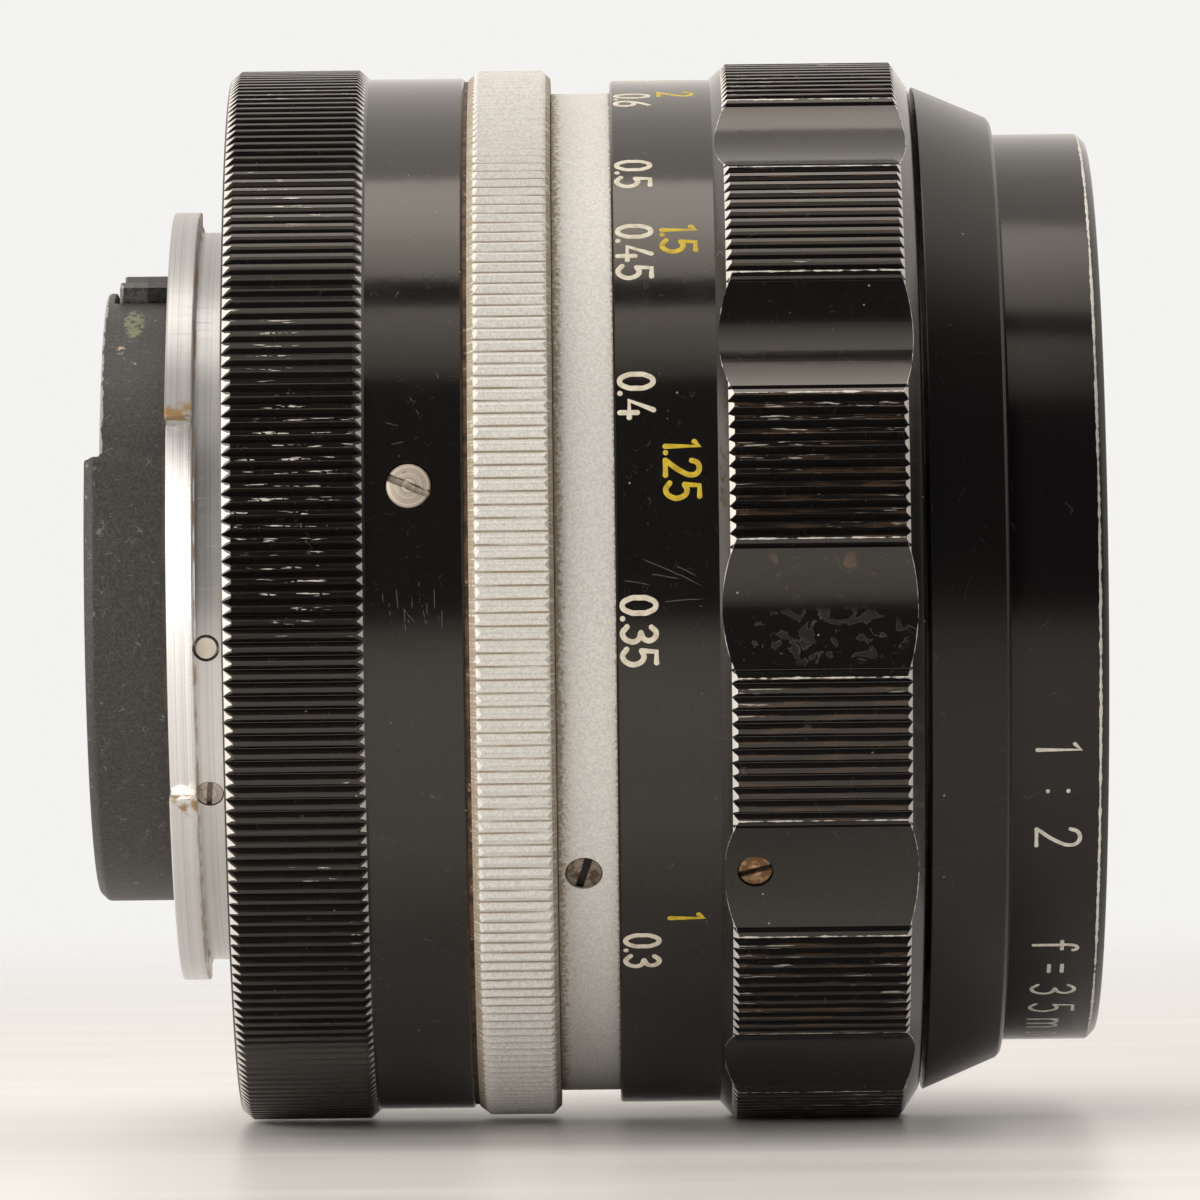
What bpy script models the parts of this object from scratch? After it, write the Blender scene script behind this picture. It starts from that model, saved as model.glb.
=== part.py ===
# Prime camera lens, lying on its side: optical axis along +X with the front glass towards +X.
# The origin is on the axis, in the plane of the bayonet flange that seats on a camera.
# An angle round the axis is counted from -Y, and a positive one goes down towards -Z.
import math

import bpy
import bmesh
from mathutils import Matrix, Vector

# Clearances
SEAT_GAP = 0.0003
SCREW_GAP = 0.00015
CEMENT_GAP = 0.0001

# Facets of the turned shapes
OUTER_STEPS = 60
INNER_STEPS = 30
GLASS_STEPS = 20
GLASS_RINGS = 4
SCREW_STEPS = 10
ARC_STEP = math.radians(8.0)
SHARP_ANGLE = math.radians(30.0)
MERGE_DISTANCE = 0.000001

# Barrel radii, built out from the plain silver ring that carries the depth marks
BARREL_RADIUS = 0.02966
APERTURE_BAND_RISE = 0.00099
APERTURE_KNURL_RISE = 0.00055
GRIP_RING_RISE = 0.0014
SCALE_BAND_RISE = 0.00074
FOCUS_GRIP_RISE = 0.0011
CONE_INSET = 0.00055
FILTER_INSET = 0.00271
EDGE_CHAMFER = 0.0005

# Walls, from the depth ring inwards
DEPTH_RING_WALL = 0.00176
MAIN_BARREL_WALL = 0.0027
MAIN_FLANGE_RISE = 0.0007
THREAD_STEP = 0.001
INNER_BARREL_WALL = 0.0031
NOSE_STEP = 0.0017
HELICOID_WALL = 0.0014
RETAINER_WALL = 0.0015
SLEEVE_GAP = 0.0002
BEARING_RING_WALL = 0.0016

# Lengths along the axis, rear to front
GUARD_REACH = 0.0086
GUARD_STEP = 0.0009
BAYONET_REACH = 0.0037
TAB_THICKNESS = 0.0016
FLANGE_THICKNESS = 0.0024
MAIN_FLANGE_THICKNESS = 0.0025
APERTURE_SKIRT = 0.0002
APERTURE_KNURL_LENGTH = 0.0082
APERTURE_BAND_LENGTH = 0.0056
RING_SPACE = 0.0004
BEARING_OVERLAP = 0.0015
GRIP_RING_LENGTH = 0.0047
DEPTH_BAND_LENGTH = 0.0035
DEPTH_SLEEVE_LENGTH = 0.006
SCALE_BAND_LENGTH = 0.0059
FLARE_LENGTH = 0.00095
FOCUS_GRIP_LENGTH = 0.00965
FOCUS_CHAMFER_LENGTH = 0.0011
CONE_LENGTH = 0.0046
FILTER_BARREL_LENGTH = 0.00565
FILTER_RECESS_DEPTH = 0.0053
FOCUS_TRAVEL = 0.0057
THREAD_LENGTH = 0.0082
RETAINER_LENGTH = 0.0011
LIP_LENGTH = 0.0012
NOSE_LENGTH = 0.0049

# Front barrel
FILTER_WALL = 0.00115
CONE_STEP = 0.00105

# Bayonet, with its tabs' middles given as angles
FLANGE_LEDGE = 0.00665
BAYONET_WALL = 0.00235
BAYONET_RIM_RISE = 0.00045
TAB_RISE = 0.0012
TAB_WIDTH = math.radians(62.0)
TAB_ANGLES = [math.radians(angle) for angle in (-58.0, 62.0, 182.0)]

# Tail guard and the lever in its slot
GUARD_SPACE = 0.0012
GUARD_WALL = 0.0025
GUARD_NECK_WALL = 0.0007
GUARD_CUT_START = math.radians(-153.0)
GUARD_CUT_END = math.radians(-27.0)
SLOT_START = math.radians(-98.0)
SLOT_END = math.radians(-74.0)
SLOT_DEPTH = 0.0012
FENCE_WIDTH = math.radians(15.0)
FENCE_RISE = 0.0013
LEVER_WIDTH = math.radians(5.2)
LEVER_PLAY = math.radians(1.3)
LEVER_REACH = 0.0069
LEVER_PROUD = 0.0008
LEVER_RING_LENGTH = 0.0016

# Focus grip scallops
SCALLOP_COUNT = 12
SCALLOP_WIDTH = math.radians(14.45)
SCALLOP_DEPTH = 0.00095
SCALLOP_PHASE = math.radians(2.0)
SCALLOP_STEPS = 72

# Screws: angle, distance from the flange plane and head diameter
MOUNT_SCREW_COUNT = 5
MOUNT_SCREW_EDGE = 0.0033
MOUNT_SCREW_HEAD = 0.0027
MOUNT_SCREW_SHANK = 0.0016
MOUNT_SCREW_HEAD_LENGTH = 0.0010
MOUNT_SCREW_PHASE = math.radians(20.0)
DEPTH_SCREW_DIAMETER = 0.00207
DEPTH_SCREW_ANGLE = math.radians(33.0)
DEPTH_SCREW_INSET = 0.0015
FOCUS_SCREW_DIAMETER = 0.00196
FOCUS_SCREW_ANGLE = math.radians(31.8)
FOCUS_SCREW_INSET = 0.00095
RING_SCREW_COUNT = 3
APERTURE_SCREW_DIAMETER = 0.00257
APERTURE_SCREW_ANGLE = math.radians(-11.5)
APERTURE_SCREW_INSET = 0.0025
GUARD_SCREW_DIAMETER = 0.00155
GUARD_SCREW_ANGLE = math.radians(32.0)
PIN_DIAMETER = 0.0012
PIN_ANGLE = math.radians(8.0)
PIN_OFFSET = 0.0014
SCREW_BITE = 0.0012
SLOT_WIDTH = 0.0004
SLOT_CUT = 0.0004
APERTURE_SLOT_TURN = math.radians(24.0)
FOCUS_SLOT_TURN = math.radians(10.0)

# Aperture ring fittings on the index side
INDEX_ANGLE = math.radians(-157.0)
PRONG_WIDTH = 0.013
PRONG_FOOT = 0.0046
PRONG_HEIGHT = 0.0075
PRONG_PLATE = 0.0009
PRONG_NOTCH_WIDTH = 0.004
PRONG_NOTCH_DEPTH = 0.0045
PRONG_SCREW_DIAMETER = 0.0022
PRONG_SCREW_SPACING = 0.0084
CLICK_ANGLE = math.radians(100.0)
CLICK_BALL_DIAMETER = 0.0012
CLICK_BALL_PROUD = 0.0002
CLICK_SPRING_TURNS = 4
CLICK_SPRING_LENGTH = 0.0016
CLICK_WIRE = 0.0002
COIL_POINTS = 8

# Guide key
KEY_WIDTH = 0.004
KEY_LENGTH = 0.0055
KEY_DEPTH = 0.001
KEY_ANGLE = math.radians(-90.0)
KEY_SCREW_DIAMETER = 0.0018

# Glass: bulge of the front face, middle thickness and bulge of the rear face, with the flat rim round a
# hollow face. A bulge is positive where the surface rises towards the front.
CELL_FRONT_WALL = 0.0024
ELEMENT_1 = {"front": 0.00371, "thick": 0.0012, "rear": 0.00374, "rear_rim": 0.0040}
ELEMENT_2 = {"front": 0.00332, "thick": 0.0068, "rear": -0.00261}
ELEMENT_3 = {"thick": 0.0016, "rear": 0.0020, "rear_rim": 0.0038}
ELEMENT_4 = {"front": 0.00217, "thick": 0.0042, "rear": -0.00106}
ELEMENT_5 = {"front": -0.00175, "thick": 0.0013, "rear": 0.00158, "front_rim": 0.0010}
ELEMENT_6 = {"thick": 0.0052, "rear": -0.00184}
ELEMENT_7 = {"front": -0.00102, "thick": 0.0039, "rear": -0.00267}
ELEMENT_8 = {"front": 0.00107, "thick": 0.0040, "rear": -0.00168}
DOUBLET_INSET = 0.0043
FOURTH_INSET = 0.0030
REAR_CELL_WALL = 0.0031
SEVENTH_INSET = 0.0012
SIXTH_INSET = 0.0014
GLASS_SETBACK = 0.0051
DOUBLET_SPACE = 0.0054
FOURTH_SPACE = 0.0018
FIFTH_SPACE = 0.0105
SEVENTH_SPACE = 0.0008
EIGHTH_SPACE = 0.0006
SEAT_LIP = 0.0009
RING_THICKNESS = 0.0014

# Iris: six blades on six levels, each turning on a pin outside its neighbours' reach
BLADE_COUNT = 6
BLADE_BAND = 0.0062
BLADE_SWEEP = math.radians(118.0)
BLADE_THICKNESS = 0.0002
BLADE_PITCH = 0.00045
BLADE_CLOSE = math.radians(27.2)
BLADE_LUG_WIDTH = 0.0025
PIVOT_STANDOFF = 0.0016
PIVOT_DIAMETER = 0.001
DRIVE_ARM = 0.002
DRIVE_DIAMETER = 0.0008
LUG_END = 0.001
LUG_CLEARANCE = 0.001
IRIS_BASE_THICKNESS = 0.0014
DRIVE_RING_THICKNESS = 0.0012

# Radii that follow
aperture_band_radius = BARREL_RADIUS + APERTURE_BAND_RISE
aperture_knurl_radius = aperture_band_radius + APERTURE_KNURL_RISE
grip_ring_radius = BARREL_RADIUS + GRIP_RING_RISE
scale_band_radius = BARREL_RADIUS + SCALE_BAND_RISE
focus_grip_radius = scale_band_radius + FOCUS_GRIP_RISE
cone_rear_radius = scale_band_radius - CONE_INSET
depth_ring_bore = BARREL_RADIUS - DEPTH_RING_WALL
main_radius = depth_ring_bore - SEAT_GAP
main_flange_radius = main_radius + MAIN_FLANGE_RISE
aperture_bore = main_flange_radius + SEAT_GAP
thread_radius = main_radius - THREAD_STEP
main_bore = main_radius - MAIN_BARREL_WALL
inner_radius = main_bore - SEAT_GAP
inner_bore = inner_radius - INNER_BARREL_WALL
nose_radius = inner_radius - NOSE_STEP
helicoid_bore = thread_radius + SEAT_GAP
helicoid_radius = helicoid_bore + HELICOID_WALL
focus_bore = helicoid_radius + SEAT_GAP
sleeve_bore = BARREL_RADIUS + SLEEVE_GAP
bearing_radius = depth_ring_bore + BEARING_RING_WALL
filter_radius = BARREL_RADIUS - FILTER_INSET
filter_bore = filter_radius - FILTER_WALL
cone_front_radius = filter_radius + CONE_STEP
mount_screw_circle = main_flange_radius - MOUNT_SCREW_EDGE
bayonet_radius = main_flange_radius - FLANGE_LEDGE
bayonet_bore = bayonet_radius - BAYONET_WALL
rim_radius = bayonet_radius + BAYONET_RIM_RISE
tab_radius = bayonet_radius + TAB_RISE
guard_radius = bayonet_bore - GUARD_SPACE
guard_bore = guard_radius - GUARD_WALL
neck_radius = guard_bore + GUARD_NECK_WALL
cell_radius = inner_bore - SEAT_GAP
rear_cell_radius = guard_bore - SEAT_GAP
lug_radius = cell_radius - LUG_CLEARANCE
drive_radius = lug_radius - LUG_END
pivot_radius = drive_radius - DRIVE_ARM
blade_band_radius = pivot_radius - PIVOT_STANDOFF
blade_bore = blade_band_radius - BLADE_BAND

# Stations along the axis that follow
aperture_rear = -APERTURE_SKIRT
aperture_knurl_end = aperture_rear + APERTURE_KNURL_LENGTH
aperture_front = aperture_knurl_end + APERTURE_BAND_LENGTH
grip_ring_rear = aperture_front + RING_SPACE
grip_ring_front = grip_ring_rear + GRIP_RING_LENGTH
depth_ring_rear = grip_ring_front + SEAT_GAP
focus_rear = grip_ring_front + DEPTH_BAND_LENGTH
depth_ring_front = focus_rear + DEPTH_SLEEVE_LENGTH
scale_end = focus_rear + SCALE_BAND_LENGTH
grip_start = scale_end + FLARE_LENGTH
grip_end = grip_start + FOCUS_GRIP_LENGTH
focus_front = grip_end + FOCUS_CHAMFER_LENGTH
cone_rear = focus_front + SEAT_GAP
cone_front = cone_rear + CONE_LENGTH
rim_front = cone_front + FILTER_BARREL_LENGTH
recess_floor = rim_front - FILTER_RECESS_DEPTH
main_flange_rear = FLANGE_THICKNESS + SEAT_GAP
main_flange_front = main_flange_rear + MAIN_FLANGE_THICKNESS
thread_start = depth_ring_front
main_front = thread_start + THREAD_LENGTH
helicoid_front = focus_front - SEAT_GAP
lip_rear = helicoid_front - LIP_LENGTH
retainer_front = lip_rear - SEAT_GAP
retainer_rear = retainer_front - RETAINER_LENGTH
helicoid_rear = thread_start + 2 * SEAT_GAP
sleeve_end = helicoid_rear - SEAT_GAP
key_front = helicoid_rear - 2 * SEAT_GAP
key_rear = key_front - KEY_LENGTH
inner_front = cone_rear - SEAT_GAP
nose_front = inner_front + NOSE_LENGTH
lever_ring_front = main_flange_rear - SEAT_GAP
lever_ring_rear = lever_ring_front - LEVER_RING_LENGTH
guard_shoulder = lever_ring_rear - SEAT_GAP

for item in list(bpy.data.objects):
    bpy.data.objects.remove(item, do_unlink=True)

parts = bpy.data.collections.new("prime_camera_lens")
cutters = bpy.data.collections.new("cutters")
bpy.context.scene.collection.children.link(parts)
bpy.context.scene.collection.children.link(cutters)


def finish(name, colour, roughness, metallic=0.0, transmission=0.0):
    material = bpy.data.materials.new(name)
    material.use_nodes = True
    shader = material.node_tree.nodes["Principled BSDF"]
    shader.inputs["Base Color"].default_value = (*colour, 1.0)
    shader.inputs["Roughness"].default_value = roughness
    shader.inputs["Metallic"].default_value = metallic
    shader.inputs["Transmission Weight"].default_value = transmission
    return material


BLACK_ENAMEL = finish("black_enamel", (0.012, 0.011, 0.011), 0.32)
BLACK_SATIN = finish("black_satin", (0.018, 0.017, 0.016), 0.55)
BLACK_ANODISED = finish("black_anodised", (0.020, 0.017, 0.019), 0.42)
SATIN_SILVER = finish("satin_silver", (0.62, 0.60, 0.56), 0.42, 1.0)
CHROME = finish("chrome", (0.72, 0.71, 0.69), 0.20, 1.0)
BRASS = finish("brass", (0.55, 0.38, 0.16), 0.35, 1.0)
STEEL = finish("screw_steel", (0.50, 0.44, 0.39), 0.35, 1.0)
SPRING_STEEL = finish("spring_steel", (0.30, 0.29, 0.28), 0.30, 1.0)
ALUMINIUM = finish("aluminium", (0.40, 0.39, 0.38), 0.45, 1.0)
GLASS = finish("glass", (0.95, 0.96, 0.98), 0.02, 0.0, 1.0)


def axis_empty(name):
    empty = bpy.data.objects.new(name, None)
    parts.objects.link(empty)
    return empty


FIXED = axis_empty("fixed_axis")
APERTURE = axis_empty("aperture_axis")
LEVER = axis_empty("lever_axis")
CARRIAGE = axis_empty("carriage_axis")
FOCUS = axis_empty("focus_axis")
IRIS = axis_empty("iris_axis")


def keep(item, material, parent):
    item.data.materials.append(material)
    item.data.shade_smooth()
    item.data.set_sharp_from_angle(angle=SHARP_ANGLE)
    item.parent = parent
    parts.objects.link(item)
    return item


def as_cutter(item):
    item.hide_render = True
    item.display_type = "WIRE"
    cutters.objects.link(item)
    return item


def combine(target, tool, operation):
    modifier = target.modifiers.new(tool.name, "BOOLEAN")
    modifier.object = tool
    modifier.operation = operation
    modifier.solver = "EXACT"


def outward(angle):
    return Vector((0.0, -math.cos(angle), -math.sin(angle)))


def turned_object(name, profile, steps, loop=True):
    # The profile's points are (station, radius) and run from front to rear along the outside.
    mesh = bpy.data.meshes.new(name)
    points = [(radius, 0.0, station) for station, radius in profile]
    edges = [(index, index + 1) for index in range(len(points) - 1)]
    if loop:
        edges.append((len(points) - 1, 0))
    mesh.from_pydata(points, edges, [])
    item = bpy.data.objects.new(name, mesh)
    screw = item.modifiers.new("turn", "SCREW")
    screw.axis = "Z"
    screw.steps = steps
    screw.render_steps = steps
    screw.use_merge_vertices = True
    screw.merge_threshold = MERGE_DISTANCE
    item.rotation_euler = (0.0, math.pi / 2, 0.0)
    return item


def ring(name, profile, material, parent, steps=OUTER_STEPS):
    return keep(turned_object(name, profile, steps), material, parent)


def tube(name, front, rear, radius, bore, material, parent, steps=INNER_STEPS):
    profile = [(front, radius), (rear, radius), (rear, bore), (front, bore)]
    return ring(name, profile, material, parent, steps)


def radial_matrix(station, radius, angle):
    # Local Z points away from the axis and local X along it.
    place = Matrix.Translation(Vector((station, 0.0, 0.0)) + radius * outward(angle))
    return place @ Matrix.Rotation(angle + math.pi / 2, 4, "X")


def cylinder_mesh(name, places, radius, low, high, steps=SCREW_STEPS):
    mesh = bpy.data.meshes.new(name)
    shape = bmesh.new()
    lift = Matrix.Translation((0.0, 0.0, (low + high) / 2))
    for place in places:
        bmesh.ops.create_cone(shape, cap_ends=True, segments=steps, radius1=radius, radius2=radius,
                              depth=high - low, matrix=place @ lift)
    shape.to_mesh(mesh)
    shape.free()
    return mesh


def drill(target, places, radius, low, high, name, steps=SCREW_STEPS):
    # Holes along each place's local Z, between the two heights there.
    mesh = cylinder_mesh(name, places, radius, low, high, steps)
    tool = as_cutter(bpy.data.objects.new(name, mesh))
    combine(target, tool, "DIFFERENCE")


def block_mesh(name, size, place):
    mesh = bpy.data.meshes.new(name)
    shape = bmesh.new()
    bmesh.ops.create_cube(shape, size=1.0, matrix=place @ Matrix.Diagonal((*size, 1.0)))
    shape.to_mesh(mesh)
    shape.free()
    return mesh


def cut_block(target, size, place, name):
    tool = as_cutter(bpy.data.objects.new(name, block_mesh(name, size, place)))
    combine(target, tool, "DIFFERENCE")


def arc(radius, start, end):
    count = max(2, math.ceil(abs(end - start) / ARC_STEP) + 1)
    angles = [start + (end - start) * index / (count - 1) for index in range(count)]
    return [Vector((radius * math.cos(angle), radius * math.sin(angle))) for angle in angles]


def plate_mesh(name, outline, thickness):
    # A flat outline in local X and Y, filled and thickened about Z = 0.
    curve = bpy.data.curves.new(name, "CURVE")
    curve.dimensions = "2D"
    curve.fill_mode = "BOTH"
    curve.extrude = thickness / 2
    spline = curve.splines.new("POLY")
    spline.points.add(len(outline) - 1)
    for point, corner in zip(spline.points, outline):
        point.co = (corner.x, corner.y, 0.0, 1.0)
    spline.use_cyclic_u = True
    drawn = bpy.data.objects.new(name, curve)
    cutters.objects.link(drawn)
    depsgraph = bpy.context.evaluated_depsgraph_get()
    mesh = bpy.data.meshes.new_from_object(drawn.evaluated_get(depsgraph))
    bpy.data.objects.remove(drawn, do_unlink=True)
    shape = bmesh.new()
    shape.from_mesh(mesh)
    bmesh.ops.remove_doubles(shape, verts=shape.verts, dist=MERGE_DISTANCE)
    bmesh.ops.recalc_face_normals(shape, faces=shape.faces)
    shape.to_mesh(mesh)
    shape.free()
    mesh.name = name
    return mesh


def section_matrix(station):
    # Takes local X to -Y, local Y to -Z and local Z to +X, so that a local angle is one round the axis.
    turn = Matrix(((0.0, 0.0, 1.0), (-1.0, 0.0, 0.0), (0.0, -1.0, 0.0)))
    return Matrix.Translation((station, 0.0, 0.0)) @ turn.to_4x4()


def sector(name, rear, front, bore, radius, start, end):
    # A piece of a ring between two angles, as a tool that is joined to a piece or cut from it.
    outline = arc(bore, start, end) + arc(radius, end, start)
    mesh = plate_mesh(name, outline, front - rear)
    mesh.transform(section_matrix((front + rear) / 2))
    return as_cutter(bpy.data.objects.new(name, mesh))


def slotted_pin(name, place, diameter, low, high, slot_turn, material, parent):
    # A headless screw along local Z with a driver slot across its outer end.
    mesh = cylinder_mesh(name, [Matrix.Identity(4)], diameter / 2, low, high)
    item = keep(bpy.data.objects.new(name, mesh), material, parent)
    item.matrix_world = place
    top = Matrix.Translation((0.0, 0.0, high)) @ Matrix.Rotation(slot_turn, 4, "Z")
    cut_block(item, (2 * diameter, SLOT_WIDTH, 2 * SLOT_CUT), place @ top, name + "_slot")
    return item


def spaced(count, phase):
    return [phase + 2 * math.pi * index / count for index in range(count)]


# Bayonet and tail

def make_bayonet_mount():
    tab_front = TAB_THICKNESS - BAYONET_REACH
    profile = [(FLANGE_THICKNESS, main_flange_radius), (0.0, main_flange_radius), (0.0, bayonet_radius),
               (tab_front, bayonet_radius), (tab_front, rim_radius), (-BAYONET_REACH, rim_radius),
               (-BAYONET_REACH, bayonet_bore), (FLANGE_THICKNESS, bayonet_bore)]
    mount = ring("bayonet_mount", profile, CHROME, FIXED)
    root = bayonet_bore + BAYONET_WALL / 2
    for number, angle in enumerate(TAB_ANGLES, 1):
        tab = sector(f"bayonet_tab_{number}", -BAYONET_REACH, tab_front, root, tab_radius,
                     angle - TAB_WIDTH / 2, angle + TAB_WIDTH / 2)
        combine(mount, tab, "UNION")
    return mount


def make_mount_screws(mount, barrel):
    length = FLANGE_THICKNESS + SEAT_GAP + SCREW_BITE
    head_end = -MOUNT_SCREW_HEAD_LENGTH
    places = []
    for angle in spaced(MOUNT_SCREW_COUNT, MOUNT_SCREW_PHASE):
        spot = Matrix.Translation(mount_screw_circle * outward(angle))
        places.append(spot @ Matrix.Rotation(-math.pi / 2, 4, "Y"))
    profile = [(0.0, 0.0), (0.0, MOUNT_SCREW_HEAD / 2), (head_end, MOUNT_SCREW_HEAD / 2),
               (head_end, MOUNT_SCREW_SHANK / 2), (-length, MOUNT_SCREW_SHANK / 2), (-length, 0.0)]
    for number, place in enumerate(places, 1):
        name = f"mount_screw_{number}"
        screw = keep(turned_object(name, profile, SCREW_STEPS, loop=False), STEEL, FIXED)
        inset = Matrix.Translation((0.0, 0.0, -SCREW_GAP))
        screw.matrix_world = place @ inset
        cut_block(screw, (2 * MOUNT_SCREW_HEAD, SLOT_WIDTH, 2 * SLOT_CUT), place, name + "_slot")
    drill(mount, places, MOUNT_SCREW_HEAD / 2 + SCREW_GAP, head_end - 2 * SCREW_GAP, SEAT_GAP,
          "mount_head_holes")
    shank_hole = MOUNT_SCREW_SHANK / 2 + SCREW_GAP
    drill(mount, places, shank_hole, -FLANGE_THICKNESS - SEAT_GAP, SEAT_GAP, "mount_shank_holes")
    drill(barrel, places, shank_hole, -length - SEAT_GAP, -FLANGE_THICKNESS, "barrel_screw_holes")


def make_bayonet_pins(mount):
    station = -PIN_OFFSET
    depth = BAYONET_WALL - SEAT_GAP
    pin_place = radial_matrix(station, bayonet_radius, PIN_ANGLE)
    pin_mesh = cylinder_mesh("mount_locating_pin", [Matrix.Identity(4)], PIN_DIAMETER / 2, -depth, 0.0)
    pin = keep(bpy.data.objects.new("mount_locating_pin", pin_mesh), STEEL, FIXED)
    pin.matrix_world = pin_place
    screw_place = radial_matrix(station, bayonet_radius, GUARD_SCREW_ANGLE)
    slotted_pin("guard_screw", screw_place, GUARD_SCREW_DIAMETER, -depth, 0.0, math.pi / 2, STEEL, FIXED)
    through = (-BAYONET_WALL - SEAT_GAP, TAB_RISE)
    drill(mount, [pin_place], PIN_DIAMETER / 2 + SCREW_GAP, *through, "pin_hole")
    drill(mount, [screw_place], GUARD_SCREW_DIAMETER / 2 + SCREW_GAP, *through, "guard_screw_hole")


def make_rear_guard():
    neck_front = main_flange_front - SEAT_GAP
    profile = [(neck_front, neck_radius), (guard_shoulder, neck_radius), (guard_shoulder, guard_radius),
               (-GUARD_REACH + EDGE_CHAMFER, guard_radius), (-GUARD_REACH, guard_radius - EDGE_CHAMFER),
               (-GUARD_REACH, guard_bore), (neck_front, guard_bore)]
    guard = ring("rear_guard", profile, BLACK_SATIN, FIXED)
    past = guard_radius + GUARD_SPACE
    step_tool = sector("guard_step", -2 * GUARD_REACH, GUARD_STEP - GUARD_REACH, guard_bore / 2, past,
                       GUARD_CUT_START, GUARD_CUT_END)
    combine(guard, step_tool, "DIFFERENCE")
    slot_tool = sector("lever_slot", -LEVER_REACH - SEAT_GAP, guard_shoulder + SEAT_GAP,
                       guard_radius - SLOT_DEPTH, past, SLOT_START, SLOT_END)
    combine(guard, slot_tool, "DIFFERENCE")
    fence = sector("lever_fence", -LEVER_REACH, -BAYONET_REACH - SEAT_GAP, guard_radius - SLOT_DEPTH,
                   guard_radius + FENCE_RISE, SLOT_START - FENCE_WIDTH, SLOT_START)
    combine(guard, fence, "UNION")


def make_stop_down_lever():
    ring_radius = bayonet_bore - SEAT_GAP
    ring_bore = neck_radius + SEAT_GAP
    lever = tube("stop_down_lever", lever_ring_front, lever_ring_rear, ring_radius, ring_bore,
                 BLACK_SATIN, LEVER)
    end = SLOT_END - LEVER_PLAY
    arm = sector("lever_arm", -LEVER_REACH, lever_ring_rear + LEVER_RING_LENGTH / 2,
                 guard_radius - SLOT_DEPTH + SEAT_GAP, guard_radius + LEVER_PROUD, end - LEVER_WIDTH, end)
    combine(lever, arm, "UNION")


# Fixed barrel and its silver rings

def make_main_barrel():
    neck_hole = neck_radius + SEAT_GAP
    profile = [(main_front, thread_radius), (thread_start, thread_radius), (thread_start, main_radius),
               (main_flange_front, main_radius), (main_flange_front, main_flange_radius),
               (main_flange_rear, main_flange_radius), (main_flange_rear, neck_hole),
               (main_flange_front, neck_hole), (main_flange_front, main_bore), (main_front, main_bore)]
    barrel = ring("main_barrel", profile, ALUMINIUM, FIXED, INNER_STEPS)
    slot_rear = key_rear - SEAT_GAP
    slot_front = key_front + FOCUS_TRAVEL + SEAT_GAP
    place = radial_matrix((slot_rear + slot_front) / 2, main_radius, KEY_ANGLE)
    size = (slot_front - slot_rear, KEY_WIDTH + 2 * SEAT_GAP, 3 * MAIN_BARREL_WALL)
    cut_block(barrel, size, place, "key_slot")
    return barrel


def make_bearing_ring():
    tube("aperture_bearing_ring", grip_ring_rear + BEARING_OVERLAP, aperture_front - BEARING_OVERLAP,
         bearing_radius, depth_ring_bore, BRASS, FIXED)


def make_grip_ring():
    counterbore = bearing_radius + SEAT_GAP
    counter_end = grip_ring_rear + BEARING_OVERLAP + SEAT_GAP
    low_edge = grip_ring_radius - EDGE_CHAMFER
    profile = [(grip_ring_front, low_edge), (grip_ring_front - EDGE_CHAMFER, grip_ring_radius),
               (grip_ring_rear + EDGE_CHAMFER, grip_ring_radius), (grip_ring_rear, low_edge),
               (grip_ring_rear, counterbore), (counter_end, counterbore),
               (counter_end, depth_ring_bore), (grip_ring_front, depth_ring_bore)]
    ring("grip_ring", profile, SATIN_SILVER, FIXED)


def make_depth_ring(barrel):
    depth_ring = tube("depth_scale_ring", depth_ring_front, depth_ring_rear, BARREL_RADIUS,
                      depth_ring_bore, SATIN_SILVER, FIXED, OUTER_STEPS)
    station = grip_ring_front + DEPTH_SCREW_INSET
    reach = DEPTH_RING_WALL + SEAT_GAP + SCREW_BITE
    places = [radial_matrix(station, BARREL_RADIUS, angle)
              for angle in spaced(RING_SCREW_COUNT, DEPTH_SCREW_ANGLE)]
    for number, place in enumerate(places, 1):
        slotted_pin(f"depth_ring_screw_{number}", place, DEPTH_SCREW_DIAMETER, -reach, 0.0,
                    math.pi / 2, STEEL, FIXED)
    hole = DEPTH_SCREW_DIAMETER / 2 + SCREW_GAP
    drill(depth_ring, places, hole, -reach, EDGE_CHAMFER, "depth_screw_holes")
    drill(barrel, places, hole, -reach - SEAT_GAP, -DEPTH_RING_WALL, "depth_screw_seats")


# Aperture ring with its screw, fork and click

def make_aperture_ring():
    counterbore = bearing_radius + SEAT_GAP
    counter_end = aperture_front - BEARING_OVERLAP - SEAT_GAP
    knurl_low = aperture_knurl_radius - EDGE_CHAMFER
    profile = [(aperture_front, aperture_band_radius), (aperture_knurl_end, aperture_band_radius),
               (aperture_knurl_end - EDGE_CHAMFER, aperture_knurl_radius),
               (aperture_rear + EDGE_CHAMFER, aperture_knurl_radius), (aperture_rear, knurl_low),
               (aperture_rear, aperture_bore), (counter_end, aperture_bore),
               (counter_end, counterbore), (aperture_front, counterbore)]
    aperture = ring("aperture_ring", profile, BLACK_ENAMEL, APERTURE)
    station = aperture_knurl_end + APERTURE_SCREW_INSET
    place = radial_matrix(station, aperture_band_radius, APERTURE_SCREW_ANGLE)
    wall = aperture_band_radius - counterbore - SEAT_GAP
    slotted_pin("aperture_ring_screw", place, APERTURE_SCREW_DIAMETER, -wall, 0.0,
                APERTURE_SLOT_TURN, STEEL, APERTURE)
    drill(aperture, [place], APERTURE_SCREW_DIAMETER / 2 + SCREW_GAP, -wall - SEAT_GAP, EDGE_CHAMFER,
          "aperture_screw_hole")
    return aperture


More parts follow.
